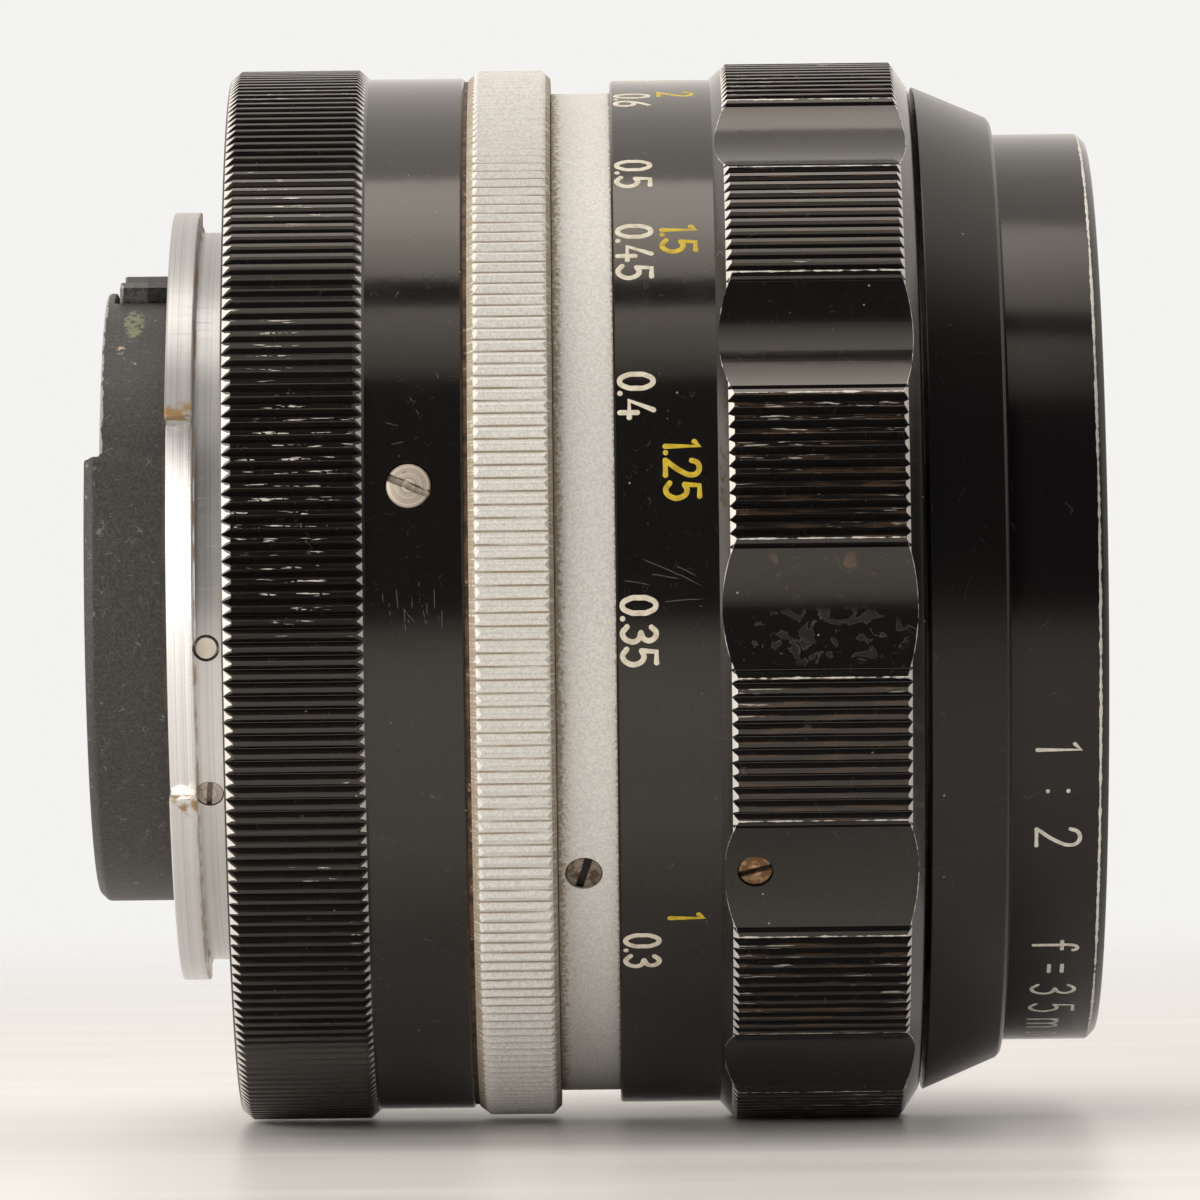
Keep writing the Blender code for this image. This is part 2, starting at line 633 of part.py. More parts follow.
def make_meter_prong(aperture):
    foot_rear = aperture_knurl_end + (APERTURE_BAND_LENGTH - PRONG_FOOT) / 2
    place = radial_matrix(foot_rear, aperture_band_radius + SEAT_GAP, INDEX_ANGLE)
    half = PRONG_WIDTH / 2
    notch = PRONG_NOTCH_WIDTH / 2
    shoulder = PRONG_HEIGHT - half + notch
    bend = [Vector((0.0, 0.0)), Vector((PRONG_FOOT, 0.0)), Vector((PRONG_FOOT, PRONG_PLATE)),
            Vector((PRONG_PLATE, PRONG_PLATE)), Vector((PRONG_PLATE, PRONG_HEIGHT + PRONG_PLATE)),
            Vector((0.0, PRONG_HEIGHT + PRONG_PLATE))]
    bend_mesh = plate_mesh("meter_prong", bend, 2 * PRONG_WIDTH)
    bend_mesh.transform(place @ Matrix.Rotation(math.pi / 2, 4, "X"))
    prong = keep(bpy.data.objects.new("meter_prong", bend_mesh), BLACK_ENAMEL, APERTURE)
    ear = [Vector((half, -PRONG_PLATE)), Vector((half, shoulder))]
    ear += [Vector((notch, shoulder)) + corner for corner in arc(half - notch, 0.0, math.pi / 2)[1:]]
    ear.append(Vector((notch, PRONG_HEIGHT - PRONG_NOTCH_DEPTH)))
    outline = ear + [Vector((-corner.x, corner.y)) for corner in reversed(ear)]
    ears = plate_mesh("prong_ears", outline, 4 * PRONG_FOOT)
    stand = Matrix(((0.0, 0.0, 1.0), (1.0, 0.0, 0.0), (0.0, 1.0, 0.0))).to_4x4()
    ears.transform(place @ stand)
    combine(prong, as_cutter(bpy.data.objects.new("prong_ears", ears)), "INTERSECT")
    bite = SEAT_GAP + SCREW_BITE / 2
    screw_x = PRONG_PLATE + (PRONG_FOOT - PRONG_PLATE) / 2
    places = []
    for side in (-1, 1):
        place_y = side * PRONG_SCREW_SPACING / 2
        places.append(place @ Matrix.Translation((screw_x, place_y, PRONG_PLATE)))
    low = -PRONG_PLATE - bite - SCREW_GAP
    for number, spot in enumerate(places, 1):
        slotted_pin(f"prong_screw_{number}", spot, PRONG_SCREW_DIAMETER, low, SLOT_CUT, 0.0, STEEL, APERTURE)
    hole = PRONG_SCREW_DIAMETER / 2 + SCREW_GAP
    drill(prong, places, hole, -2 * PRONG_PLATE, PRONG_PLATE, "prong_holes")
    drill(aperture, places, hole, low - SCREW_GAP, 0.0, "prong_seats")


def make_click(barrel):
    station = (main_flange_rear + main_flange_front) / 2
    place = radial_matrix(station, main_flange_radius, CLICK_ANGLE)
    ball_mid = CLICK_BALL_PROUD - CLICK_BALL_DIAMETER / 2
    mesh = bpy.data.meshes.new("click_ball")
    shape = bmesh.new()
    bmesh.ops.create_uvsphere(shape, u_segments=SCREW_STEPS, v_segments=SCREW_STEPS // 2,
                              radius=CLICK_BALL_DIAMETER / 2, matrix=Matrix.Translation((0.0, 0.0, ball_mid)))
    shape.to_mesh(mesh)
    shape.free()
    ball = keep(bpy.data.objects.new("click_ball", mesh), SPRING_STEEL, FIXED)
    ball.matrix_world = place
    spring_top = ball_mid - CLICK_BALL_DIAMETER / 2 - CLICK_WIRE
    coil_radius = CLICK_BALL_DIAMETER / 2 - CLICK_WIRE
    curve = bpy.data.curves.new("click_spring", "CURVE")
    curve.dimensions = "3D"
    curve.bevel_depth = CLICK_WIRE / 2
    curve.bevel_resolution = 1
    curve.use_fill_caps = True
    spline = curve.splines.new("POLY")
    count = CLICK_SPRING_TURNS * COIL_POINTS
    spline.points.add(count)
    for index, point in enumerate(spline.points):
        turn = 2 * math.pi * index / COIL_POINTS
        height = spring_top - CLICK_SPRING_LENGTH * index / count
        point.co = (coil_radius * math.cos(turn), coil_radius * math.sin(turn), height, 1.0)
    spring = bpy.data.objects.new("click_spring", curve)
    curve.materials.append(SPRING_STEEL)
    spring.parent = FIXED
    parts.objects.link(spring)
    spring.matrix_world = place
    depth = spring_top - CLICK_SPRING_LENGTH - CLICK_WIRE - SEAT_GAP
    drill(barrel, [place], CLICK_BALL_DIAMETER / 2 + SCREW_GAP, depth, EDGE_CHAMFER, "click_hole")


# Focus ring and its helicoid

def make_focus_ring():
    scallop_chord = 2 * focus_grip_radius * math.sin(SCALLOP_WIDTH / 2)
    floor = focus_grip_radius - SCALLOP_DEPTH
    rise = focus_grip_radius * math.cos(SCALLOP_WIDTH / 2) - floor
    scallop_radius = (scallop_chord ** 2 / 4 + rise ** 2) / (2 * rise)
    profile = [(focus_front, cone_rear_radius), (grip_end, focus_grip_radius),
               (grip_start, focus_grip_radius), (scale_end, scale_band_radius),
               (focus_rear, scale_band_radius), (focus_rear, sleeve_bore),
               (sleeve_end, sleeve_bore), (sleeve_end, focus_bore), (focus_front, focus_bore)]
    focus = ring("focus_ring", profile, BLACK_ENAMEL, FOCUS)
    along = Matrix.Rotation(math.pi / 2, 4, "Y")
    places = []
    for angle in spaced(SCALLOP_COUNT, SCALLOP_PHASE):
        places.append(Matrix.Translation((floor + scallop_radius) * outward(angle)) @ along)
    drill(focus, places, scallop_radius, scale_end, focus_front + SEAT_GAP, "scallops", SCALLOP_STEPS)
    helicoid = make_focus_helicoid()
    screw_places = [radial_matrix(grip_start + FOCUS_SCREW_INSET, floor, angle)
                    for angle in spaced(RING_SCREW_COUNT, FOCUS_SCREW_ANGLE)]
    reach = floor - focus_bore + SEAT_GAP + HELICOID_WALL / 2
    for number, place in enumerate(screw_places, 1):
        slotted_pin(f"focus_ring_screw_{number}", place, FOCUS_SCREW_DIAMETER, -reach, 0.0,
                    FOCUS_SLOT_TURN, STEEL, FOCUS)
    hole = FOCUS_SCREW_DIAMETER / 2 + SCREW_GAP
    drill(focus, screw_places, hole, -reach, FOCUS_GRIP_RISE, "focus_screw_holes")
    drill(helicoid, screw_places, hole, -reach - SCREW_GAP, 0.0, "helicoid_screw_seats")


def make_focus_helicoid():
    lip_bore = inner_radius + SEAT_GAP
    profile = [(helicoid_front, helicoid_radius), (helicoid_rear, helicoid_radius),
               (helicoid_rear, helicoid_bore), (lip_rear, helicoid_bore), (lip_rear, lip_bore),
               (helicoid_front, lip_bore)]
    return ring("focus_helicoid", profile, BRASS, FOCUS, INNER_STEPS)


# Carriage: the tube and front that slide forward

def make_carriage_tubes():
    inner_rear = rear_flange_rear - SEAT_GAP
    profile = [(nose_front, nose_radius), (inner_front, nose_radius), (inner_front, inner_radius),
               (inner_rear, inner_radius), (inner_rear, inner_bore), (nose_front, inner_bore)]
    inner = ring("inner_barrel", profile, ALUMINIUM, CARRIAGE, INNER_STEPS)
    tube("helicoid_retainer", retainer_front, retainer_rear, inner_radius + SEAT_GAP + RETAINER_WALL,
         inner_radius + SEAT_GAP, BRASS, CARRIAGE)
    return inner


def make_front_barrel():
    seat = nose_radius + SEAT_GAP
    profile = [(rim_front, filter_radius - EDGE_CHAMFER), (rim_front - EDGE_CHAMFER, filter_radius),
               (cone_front, filter_radius), (cone_front, cone_front_radius - EDGE_CHAMFER / 2),
               (cone_front - EDGE_CHAMFER / 2, cone_front_radius), (cone_rear, cone_rear_radius),
               (cone_rear, seat), (recess_floor, seat), (recess_floor, filter_bore),
               (rim_front, filter_bore)]
    ring("front_barrel", profile, BLACK_ANODISED, CARRIAGE)


def make_guide_key(inner):
    middle = (key_front + key_rear) / 2
    top = main_radius - SEAT_GAP
    seat = inner_radius - KEY_DEPTH
    place = radial_matrix(middle, seat, KEY_ANGLE)
    height = top * math.cos(math.asin(KEY_WIDTH / 2 / top)) - seat - SEAT_GAP
    lift = Matrix.Translation((0.0, 0.0, SEAT_GAP + height / 2))
    key_mesh = block_mesh("guide_key", (KEY_LENGTH, KEY_WIDTH, height), place @ lift)
    key = keep(bpy.data.objects.new("guide_key", key_mesh), BRASS, CARRIAGE)
    pocket = (KEY_LENGTH + 2 * SEAT_GAP, KEY_WIDTH + 2 * SEAT_GAP, 4 * KEY_DEPTH)
    cut_block(inner, pocket, place @ Matrix.Translation((0.0, 0.0, 2 * KEY_DEPTH)), "key_pocket")
    screw_top = SEAT_GAP + height
    slotted_pin("guide_key_screw", place, KEY_SCREW_DIAMETER, -SCREW_BITE, screw_top, 0.0, STEEL, CARRIAGE)
    hole = KEY_SCREW_DIAMETER / 2 + SCREW_GAP
    drill(key, [place], hole, -SCREW_BITE, 2 * screw_top, "key_screw_hole")
    drill(inner, [place], hole, -SCREW_BITE - SEAT_GAP, KEY_DEPTH, "key_screw_seat")


# Glass and its cells

def curve_of(bulge, clear):
    # The radius of the sphere that rises by this bulge over this clear radius.
    return (clear ** 2 + bulge ** 2) / (2 * bulge)


def sag(curve, radius):
    return math.copysign(abs(curve) - math.sqrt(curve ** 2 - radius ** 2), curve)


def surface(vertex, curve, clear):
    # Points of a spherical face from the middle out, as (station, radius).
    radii = [clear * index / (GLASS_RINGS - 1) for index in range(GLASS_RINGS)]
    return [(vertex - sag(curve, radius), radius) for radius in radii]


def make_element(number, vertex, shape):
    radius = shape["radius"]
    rear_vertex = vertex - shape["thick"]
    front_clear = radius - shape.get("front_rim", 0.0)
    rear_clear = radius - shape.get("rear_rim", 0.0)
    front_curve = curve_of(shape["front"], front_clear)
    rear_curve = curve_of(shape["rear"], rear_clear)
    front_face = surface(vertex, front_curve, front_clear)
    rear_face = surface(rear_vertex, rear_curve, rear_clear)
    front_edge = front_face[-1][0]
    rear_edge = rear_face[-1][0]
    if "front_rim" in shape:
        front_face.append((front_edge, radius))
    if "rear_rim" in shape:
        rear_face.append((rear_edge, radius))
    profile = front_face + rear_face[::-1]
    item = turned_object(f"lens_element_{number}", profile, GLASS_STEPS, loop=False)
    keep(item, GLASS, CARRIAGE)
    return {"front": front_edge, "rear": rear_edge, "vertex": vertex, "rear_vertex": rear_vertex,
            "radius": radius, "front_curve": front_curve, "rear_curve": rear_curve}


ELEMENT_1["radius"] = cell_radius - CELL_FRONT_WALL - SEAT_GAP
ELEMENT_2["radius"] = ELEMENT_1["radius"] - DOUBLET_INSET
ELEMENT_3["radius"] = ELEMENT_2["radius"]
ELEMENT_3["front"] = ELEMENT_2["rear"]
ELEMENT_4["radius"] = ELEMENT_2["radius"] - FOURTH_INSET
ELEMENT_8["radius"] = rear_cell_radius - REAR_CELL_WALL
ELEMENT_7["radius"] = ELEMENT_8["radius"] - SEVENTH_INSET
ELEMENT_6["radius"] = ELEMENT_7["radius"] - SIXTH_INSET
ELEMENT_5["radius"] = ELEMENT_6["radius"]
ELEMENT_6["front"] = ELEMENT_5["rear"]

first = make_element(1, rim_front - GLASS_SETBACK, ELEMENT_1)
second = make_element(2, first["rear_vertex"] - DOUBLET_SPACE, ELEMENT_2)
third = make_element(3, second["rear_vertex"] - CEMENT_GAP, ELEMENT_3)
fourth = make_element(4, third["rear_vertex"] - FOURTH_SPACE, ELEMENT_4)
fifth = make_element(5, fourth["rear_vertex"] - FIFTH_SPACE, ELEMENT_5)
sixth = make_element(6, fifth["rear_vertex"] - CEMENT_GAP, ELEMENT_6)
seventh = make_element(7, sixth["rear_vertex"] - SEVENTH_SPACE, ELEMENT_7)
eighth = make_element(8, seventh["rear_vertex"] - EIGHTH_SPACE, ELEMENT_8)

front_cell_front = nose_front
front_cell_rear = fourth["rear_vertex"] - SEAT_GAP
rear_cell_front = fifth["front"] + SEAT_GAP + SEAT_LIP
rear_cell_rear = eighth["rear_vertex"] - SEAT_LIP
iris_base_rear = rear_cell_front + SEAT_GAP
iris_base_front = iris_base_rear + IRIS_BASE_THICKNESS
blades_rear = iris_base_front + SEAT_GAP
drive_ring_front = front_cell_rear - SEAT_GAP
drive_ring_rear = drive_ring_front - DRIVE_RING_THICKNESS
rear_flange_front = rear_cell_front
rear_flange_rear = sixth["front"]


def make_front_cell():
    seats = [(first, first["rear"] - SEAT_GAP), (third, third["rear"] - SEAT_GAP),
             (fourth, fourth["rear"] - SEAT_GAP)]
    profile = [(front_cell_front, cell_radius), (front_cell_rear, cell_radius),
               (front_cell_rear, fourth["radius"] - SEAT_LIP)]
    for glass, seat in reversed(seats):
        profile.append((seat, profile[-1][1]))
        profile.append((seat, glass["radius"] + SEAT_GAP))
    profile.append((front_cell_front, profile[-1][1]))
    ring("front_cell", profile, BLACK_SATIN, CARRIAGE, INNER_STEPS)
    doublet_rear = second["front"] + SEAT_GAP
    press = second["radius"]
    tube("doublet_retaining_ring", doublet_rear + RING_THICKNESS, doublet_rear, press, press - SEAT_LIP / 2,
         BLACK_SATIN, CARRIAGE, GLASS_STEPS)
    spacer_rear = fourth["front"] + SEAT_GAP
    tube("front_spacer_ring", third["rear"] - SEAT_GAP, spacer_rear, fourth["radius"],
         fourth["radius"] - SEAT_LIP / 2, BLACK_SATIN, CARRIAGE, GLASS_STEPS)


def make_front_trim_ring():
    outer = filter_bore - SEAT_GAP
    disc_rear = recess_floor + SEAT_GAP
    disc_front = disc_rear + SEAT_LIP
    skirt = first["radius"]
    inner_edge = skirt - SEAT_LIP
    skirt_rear = first["vertex"] - sag(first["front_curve"], inner_edge) + SEAT_GAP
    profile = [(disc_front, outer), (disc_rear, outer), (disc_rear, skirt), (skirt_rear, skirt),
               (skirt_rear, inner_edge), (disc_rear + SEAT_LIP / 2, inner_edge),
               (disc_front, outer - SEAT_LIP)]
    ring("front_trim_ring", profile, BLACK_ANODISED, CARRIAGE)


def make_rear_cell():
    lip = fifth["radius"] - SEAT_LIP
    lip_front = rear_cell_front - SEAT_LIP
    profile = [(rear_flange_front, cell_radius), (rear_flange_rear, cell_radius),
               (rear_flange_rear, rear_cell_radius), (rear_cell_rear, rear_cell_radius),
               (rear_cell_rear, eighth["radius"] + SEAT_GAP)]
    sixth_bore_rear = seventh["front"] + SEAT_GAP
    seventh_bore_rear = eighth["front"] + SEAT_GAP
    profile += [(seventh_bore_rear, eighth["radius"] + SEAT_GAP),
                (seventh_bore_rear, seventh["radius"] + SEAT_GAP),
                (sixth_bore_rear, seventh["radius"] + SEAT_GAP),
                (sixth_bore_rear, fifth["radius"] + SEAT_GAP), (lip_front, fifth["radius"] + SEAT_GAP),
                (lip_front, lip), (rear_flange_front, lip)]
    ring("rear_cell", profile, BLACK_SATIN, CARRIAGE, INNER_STEPS)
    first_bore = sixth["radius"] - SEAT_LIP / 2
    first_front = sixth["rear_vertex"] - sag(sixth["rear_curve"], first_bore) - SEAT_GAP
    tube("rear_spacer_ring_1", first_front, sixth_bore_rear, sixth["radius"], first_bore,
         BLACK_SATIN, CARRIAGE, GLASS_STEPS)
    second_bore = seventh["radius"] - SEAT_LIP / 2
    second_front = seventh["rear_vertex"] - sag(seventh["rear_curve"], second_bore) - SEAT_GAP
    tube("rear_spacer_ring_2", second_front, seventh_bore_rear, seventh["radius"], second_bore,
         BLACK_SATIN, CARRIAGE, GLASS_STEPS)
    ring_bore = eighth["radius"] - SEAT_LIP
    ring_front = eighth["rear_vertex"] - sag(eighth["rear_curve"], ring_bore) - SEAT_GAP
    tube("rear_retaining_ring", ring_front, rear_cell_rear, eighth["radius"], ring_bore,
         BLACK_SATIN, CARRIAGE, GLASS_STEPS)


# Iris

def make_iris():
    rest = BLADE_CLOSE / 2
    base = tube("iris_base", iris_base_front, iris_base_rear, cell_radius, blade_bore + SEAT_GAP,
                BLACK_SATIN, CARRIAGE)
    drive = tube("iris_drive_ring", drive_ring_front, drive_ring_rear, cell_radius,
                 pivot_radius + PIVOT_DIAMETER, BRASS, IRIS)
    outline = blade_outline()
    inward = Matrix.Translation((-pivot_radius, 0.0, 0.0))
    pivot_places = []
    for index, angle in enumerate(spaced(BLADE_COUNT, 0.0)):
        level = blades_rear + index * BLADE_PITCH + BLADE_THICKNESS / 2
        name = f"iris_blade_{index + 1}"
        mesh = plate_mesh(name, outline, BLADE_THICKNESS)
        mesh.transform(inward)
        blade = keep(bpy.data.objects.new(name, mesh), SPRING_STEEL, CARRIAGE)
        spin = Matrix.Rotation(angle, 4, "Z")
        place = section_matrix(level) @ spin @ inward.inverted() @ Matrix.Rotation(rest, 4, "Z")
        blade.matrix_world = place
        pivot_low = iris_base_rear + SEAT_GAP - level
        pivot_mesh = cylinder_mesh(name + "_pivot", [place], PIVOT_DIAMETER / 2, pivot_low, 0.0)
        combine(blade, as_cutter(bpy.data.objects.new(name + "_pivot", pivot_mesh)), "UNION")
        arm = place @ Matrix.Translation((DRIVE_ARM, 0.0, 0.0))
        drive_high = drive_ring_front - SEAT_GAP - level
        drive_mesh = cylinder_mesh(name + "_drive", [arm], DRIVE_DIAMETER / 2, 0.0, drive_high)
        combine(blade, as_cutter(bpy.data.objects.new(name + "_drive", drive_mesh)), "UNION")
        pivot_places.append(section_matrix(0.0) @ spin @ inward.inverted())
        lead = math.atan2(DRIVE_ARM * math.sin(rest), pivot_radius + DRIVE_ARM * math.cos(rest))
        notch_place = section_matrix((drive_ring_front + drive_ring_rear) / 2)
        notch_place = notch_place @ Matrix.Rotation(angle + lead, 4, "Z")
        notch_place = notch_place @ Matrix.Translation((pivot_radius + PIVOT_DIAMETER, 0.0, 0.0))
        reach = 2 * (DRIVE_ARM - PIVOT_DIAMETER + DRIVE_DIAMETER)
        size = (reach, DRIVE_DIAMETER + 2 * SEAT_GAP, 2 * DRIVE_RING_THICKNESS)
        cut_block(drive, size, notch_place, f"drive_notch_{index + 1}")
    drill(base, pivot_places, PIVOT_DIAMETER / 2 + SCREW_GAP, iris_base_rear - SEAT_GAP,
          iris_base_front + SEAT_GAP, "pivot_holes")


def blade_outline():
    # A band round the axis with a lug for its two pins, drawn open with the pivot on local +X.
    half = BLADE_LUG_WIDTH / 2
    inner_start = -math.asin(half / blade_bore)
    outer_end = math.asin(half / blade_band_radius)
    outline = arc(blade_bore, inner_start, BLADE_SWEEP)
    outline += arc(blade_band_radius, BLADE_SWEEP, outer_end)
    outline += [Vector((lug_radius, half)), Vector((lug_radius, -half))]
    return outline


mount_piece = make_bayonet_mount()
barrel_piece = make_main_barrel()
make_mount_screws(mount_piece, barrel_piece)
make_bayonet_pins(mount_piece)
make_rear_guard()
make_stop_down_lever()
make_bearing_ring()
make_grip_ring()
make_depth_ring(barrel_piece)
aperture_piece = make_aperture_ring()
make_meter_prong(aperture_piece)
make_click(barrel_piece)
make_focus_ring()
inner_piece = make_carriage_tubes()
make_front_barrel()
make_guide_key(inner_piece)
make_front_cell()
make_front_trim_ring()
make_rear_cell()
make_iris()
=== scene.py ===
import bpy
import bmesh
import math
from mathutils import Matrix, Vector


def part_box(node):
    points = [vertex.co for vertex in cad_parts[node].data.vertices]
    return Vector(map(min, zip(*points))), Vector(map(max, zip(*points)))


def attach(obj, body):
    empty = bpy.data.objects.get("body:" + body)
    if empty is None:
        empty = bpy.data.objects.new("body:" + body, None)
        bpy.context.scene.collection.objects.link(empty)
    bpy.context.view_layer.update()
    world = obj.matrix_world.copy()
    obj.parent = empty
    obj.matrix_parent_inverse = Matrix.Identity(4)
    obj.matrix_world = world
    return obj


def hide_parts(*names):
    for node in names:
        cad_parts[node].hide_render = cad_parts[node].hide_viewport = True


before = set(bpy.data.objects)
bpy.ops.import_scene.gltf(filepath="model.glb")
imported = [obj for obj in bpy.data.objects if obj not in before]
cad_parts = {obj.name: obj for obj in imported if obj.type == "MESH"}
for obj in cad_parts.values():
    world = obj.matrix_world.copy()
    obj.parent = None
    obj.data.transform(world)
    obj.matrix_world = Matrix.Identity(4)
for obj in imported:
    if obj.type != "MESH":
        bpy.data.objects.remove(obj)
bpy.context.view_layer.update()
mm = 0.001
tiny = 1e-7             # points this close are merged
near = 1e-6             # stations and radii this close count as equal
print("frame loaded:", len(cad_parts), "nodes")

# Angles run round the optical axis (X), from the side facing the camera and downwards.


class Wire:
    # a shader value that takes part in Python sums

    def __init__(self, nodes, socket):
        self.nodes = nodes
        self.socket = socket

    def calc(self, operation, *values):
        return self.nodes.add("ShaderNodeMath", {"operation": operation}, dict(enumerate(values)))

    def __add__(self, other):
        return self.calc("ADD", self, other)

    def __radd__(self, other):
        return self.calc("ADD", other, self)

    def __sub__(self, other):
        return self.calc("SUBTRACT", self, other)

    def __rsub__(self, other):
        return self.calc("SUBTRACT", other, self)

    def __mul__(self, other):
        return self.calc("MULTIPLY", self, other)

    def __rmul__(self, other):
        return self.calc("MULTIPLY", other, self)

    def __truediv__(self, other):
        return self.calc("DIVIDE", self, other)

    def __mod__(self, other):
        return self.calc("FLOORED_MODULO", self, other)

    def __abs__(self):
        return self.calc("ABSOLUTE", self)

    def root(self):
        return self.calc("SQRT", self.atLeast(0.0))

    def atLeast(self, other):
        return self.calc("MAXIMUM", self, other)

    def atMost(self, other):
        return self.calc("MINIMUM", self, other)

    def rise(self, low, high):
        # 0 below low, 1 above high, smooth between; low may be the larger one
        settings = {"interpolation_type": "SMOOTHSTEP"}
        if low < high:
            return self.nodes.add("ShaderNodeMapRange", settings, {0: self, 1: low, 2: high, 3: 0.0, 4: 1.0})
        return self.nodes.add("ShaderNodeMapRange", settings, {0: self, 1: high, 2: low, 3: 1.0, 4: 0.0})


def strongest(masks):
    whole = masks[0]
    for mask in masks[1:]:
        whole = whole.atLeast(mask)
    return whole


class Nodes:
    # adds shader nodes to a material or to the world

    def __init__(self, tree):
        self.tree = tree

    def add(self, kind, settings=None, sockets=None, output=0):
        node = self.tree.nodes.new(kind)
        for key, value in (settings or {}).items():
            setattr(node, key, value)
        for key, value in (sockets or {}).items():
            if isinstance(value, Wire):
                self.tree.links.new(value.socket, node.inputs[key])
            else:
                node.inputs[key].default_value = value
        return Wire(self, node.outputs[output])

    def blend(self, mask, first, second):
        first = first if isinstance(first, Wire) else (*first, 1.0)
        second = second if isinstance(second, Wire) else (*second, 1.0)
        return self.add("ShaderNodeMix", {"data_type": "RGBA"}, {0: mask, 6: first, 7: second}, 2)


class Finish(Nodes):
    # one material, with the round-the-axis coordinates that the wear is painted by

    def __init__(self, name, colour=(0.5, 0.5, 0.5), roughness=0.5, metallic=0.0, **constants):
        self.material = bpy.data.materials.new(name)
        self.material.use_nodes = True
        super().__init__(self.material.node_tree)
        self.shader = self.tree.nodes["Principled BSDF"]
        self.feed("Base Color", (*colour, 1.0))
        self.feed("Roughness", roughness)
        self.feed("Metallic", metallic)
        for socket, value in constants.items():
            self.feed(socket.replace("_", " "), value)
        self.place = self.add("ShaderNodeTexCoord", output="Object")
        self.x = self.add("ShaderNodeSeparateXYZ", sockets={0: self.place}, output=0)
        self.y = self.add("ShaderNodeSeparateXYZ", sockets={0: self.place}, output=1)
        self.z = self.add("ShaderNodeSeparateXYZ", sockets={0: self.place}, output=2)
        self.radius = (self.y * self.y + self.z * self.z).root()
        self.angle = self.x.calc("ARCTAN2", 0.0 - self.z, 0.0 - self.y)

    def feed(self, socket, value):
        if isinstance(value, Wire):
            self.tree.links.new(value.socket, self.shader.inputs[socket])
        else:
            self.shader.inputs[socket].default_value = value

    def vector(self, x, y, z=0.0):
        return self.add("ShaderNodeCombineXYZ", sockets={0: x, 1: y, 2: z})

    def noise(self, scale, detail=2.0, place=None, distortion=0.0):
        sockets = {"Vector": place or self.place, "Scale": scale, "Detail": detail, "Distortion": distortion}
        return self.add("ShaderNodeTexNoise", sockets=sockets)

    def along(self, lengthScale, roundScale, detail=2.0):
        # noise drawn out along the axis or round it
        return self.noise(1.0, detail, self.vector(self.x * lengthScale, self.angle * roundScale))

    def lines(self, scale, detail=3.0):
        # turning marks: noise that only changes with the station and the radius
        return self.noise(scale, detail, self.vector(self.x, self.radius))

    def specks(self, scale, size, share):
        # a share of the cells holds one round speck each
        sockets = {"Vector": self.place, "Scale": scale}
        distance = self.add("ShaderNodeTexVoronoi", sockets=sockets)
        cell = self.add("ShaderNodeTexVoronoi", sockets=sockets, output=1)
        chance = self.add("ShaderNodeSeparateColor", sockets={0: cell})
        return distance.rise(size, size * 0.6) * chance.rise(1.0 - share, 1.001 - share)

    def spot(self, station, degrees, length, width):
        # a soft patch on the unrolled surface, 1 in its middle
        along = (self.x - station) / length
        around = (self.angle - math.radians(degrees)) / math.radians(width)
        return (along * along + around * around).root().rise(1.0, 0.35)

    def between(self, low, high, soft=0.03 * mm):
        # 1 where the station lies between two values
        return self.x.rise(low - soft, low + soft) * self.x.rise(high + soft, high - soft)

    def onLine(self, first, second):
        # the turned surface whose outline runs through two (station, radius) points
        slope = (second[1] - first[1]) / (second[0] - first[0])
        return abs(self.radius - ((self.x - first[0]) * slope + first[1])).rise(0.045 * mm, 0.015 * mm)

    def toothPhase(self, settings, turn=0.0):
        # 0 in the middle of every tooth's flat, 0.5 in the middle of every groove
        return abs(((self.angle - turn) * (settings["teeth"] / (2 * math.pi)) + 0.5) % 1.0 - 0.5)

    def stroke(self, start, end, width=0.034 * mm, barrel=30.5 * mm):
        # one scratch between two (millimetres, degrees) points of the unrolled surface
        first = Vector((start[0] * mm, math.radians(start[1]) * barrel))
        span = Vector((end[0] * mm, math.radians(end[1]) * barrel)) - first
        way = span.normalized()
        wobble = (self.noise(420.0, 2.0) - 0.5) * (0.45 * mm)
        lengthways = self.x - first.x
        around = self.angle * barrel - first.y + wobble
        along = (lengthways * way.x + around * way.y) / span.length
        line = abs(around * way.x - lengthways * way.y).rise(width, width * 0.4)
        return line * along.rise(0.0, 0.1) * along.rise(1.0, 0.7)

    def strokes(self, pairs):
        return strongest([self.stroke(start, end) for start, end in pairs])

    def arcs(self, scale, fineness, level=0.5):
        # thin curved scratches, from the contour lines of a noise
        return abs(self.noise(scale, 1.0) - level).rise(fineness, fineness * 0.4)

    def bump(self, height, strength, distance):
        sockets = {"Strength": strength, "Distance": distance, "Height": height}
        self.feed("Normal", self.add("ShaderNodeBump", sockets=sockets))


# Shapes

def outward(angle):
    return Vector((0.0, -math.cos(angle), -math.sin(angle)))


def spun(corners, edges, shape, steps):
    bmesh.ops.spin(shape, geom=corners + edges, cent=(0, 0, 0), axis=(1, 0, 0), angle=2 * math.pi,
                   steps=steps, use_merge=True)
    bmesh.ops.remove_doubles(shape, verts=shape.verts, dist=tiny)
    bmesh.ops.recalc_face_normals(shape, faces=shape.faces)
    return shape


def turned(profile, steps=180, closed=True):
    # profile points are (station, radius)
    shape = bmesh.new()
    corners = [shape.verts.new((x, 0.0, -radius)) for x, radius in profile]
    pairs = list(zip(corners, corners[1:]))
    if closed:
        pairs.append((corners[-1], corners[0]))
    edges = [shape.edges.new(pair) for pair in pairs]
    return spun(corners, edges, shape, steps)


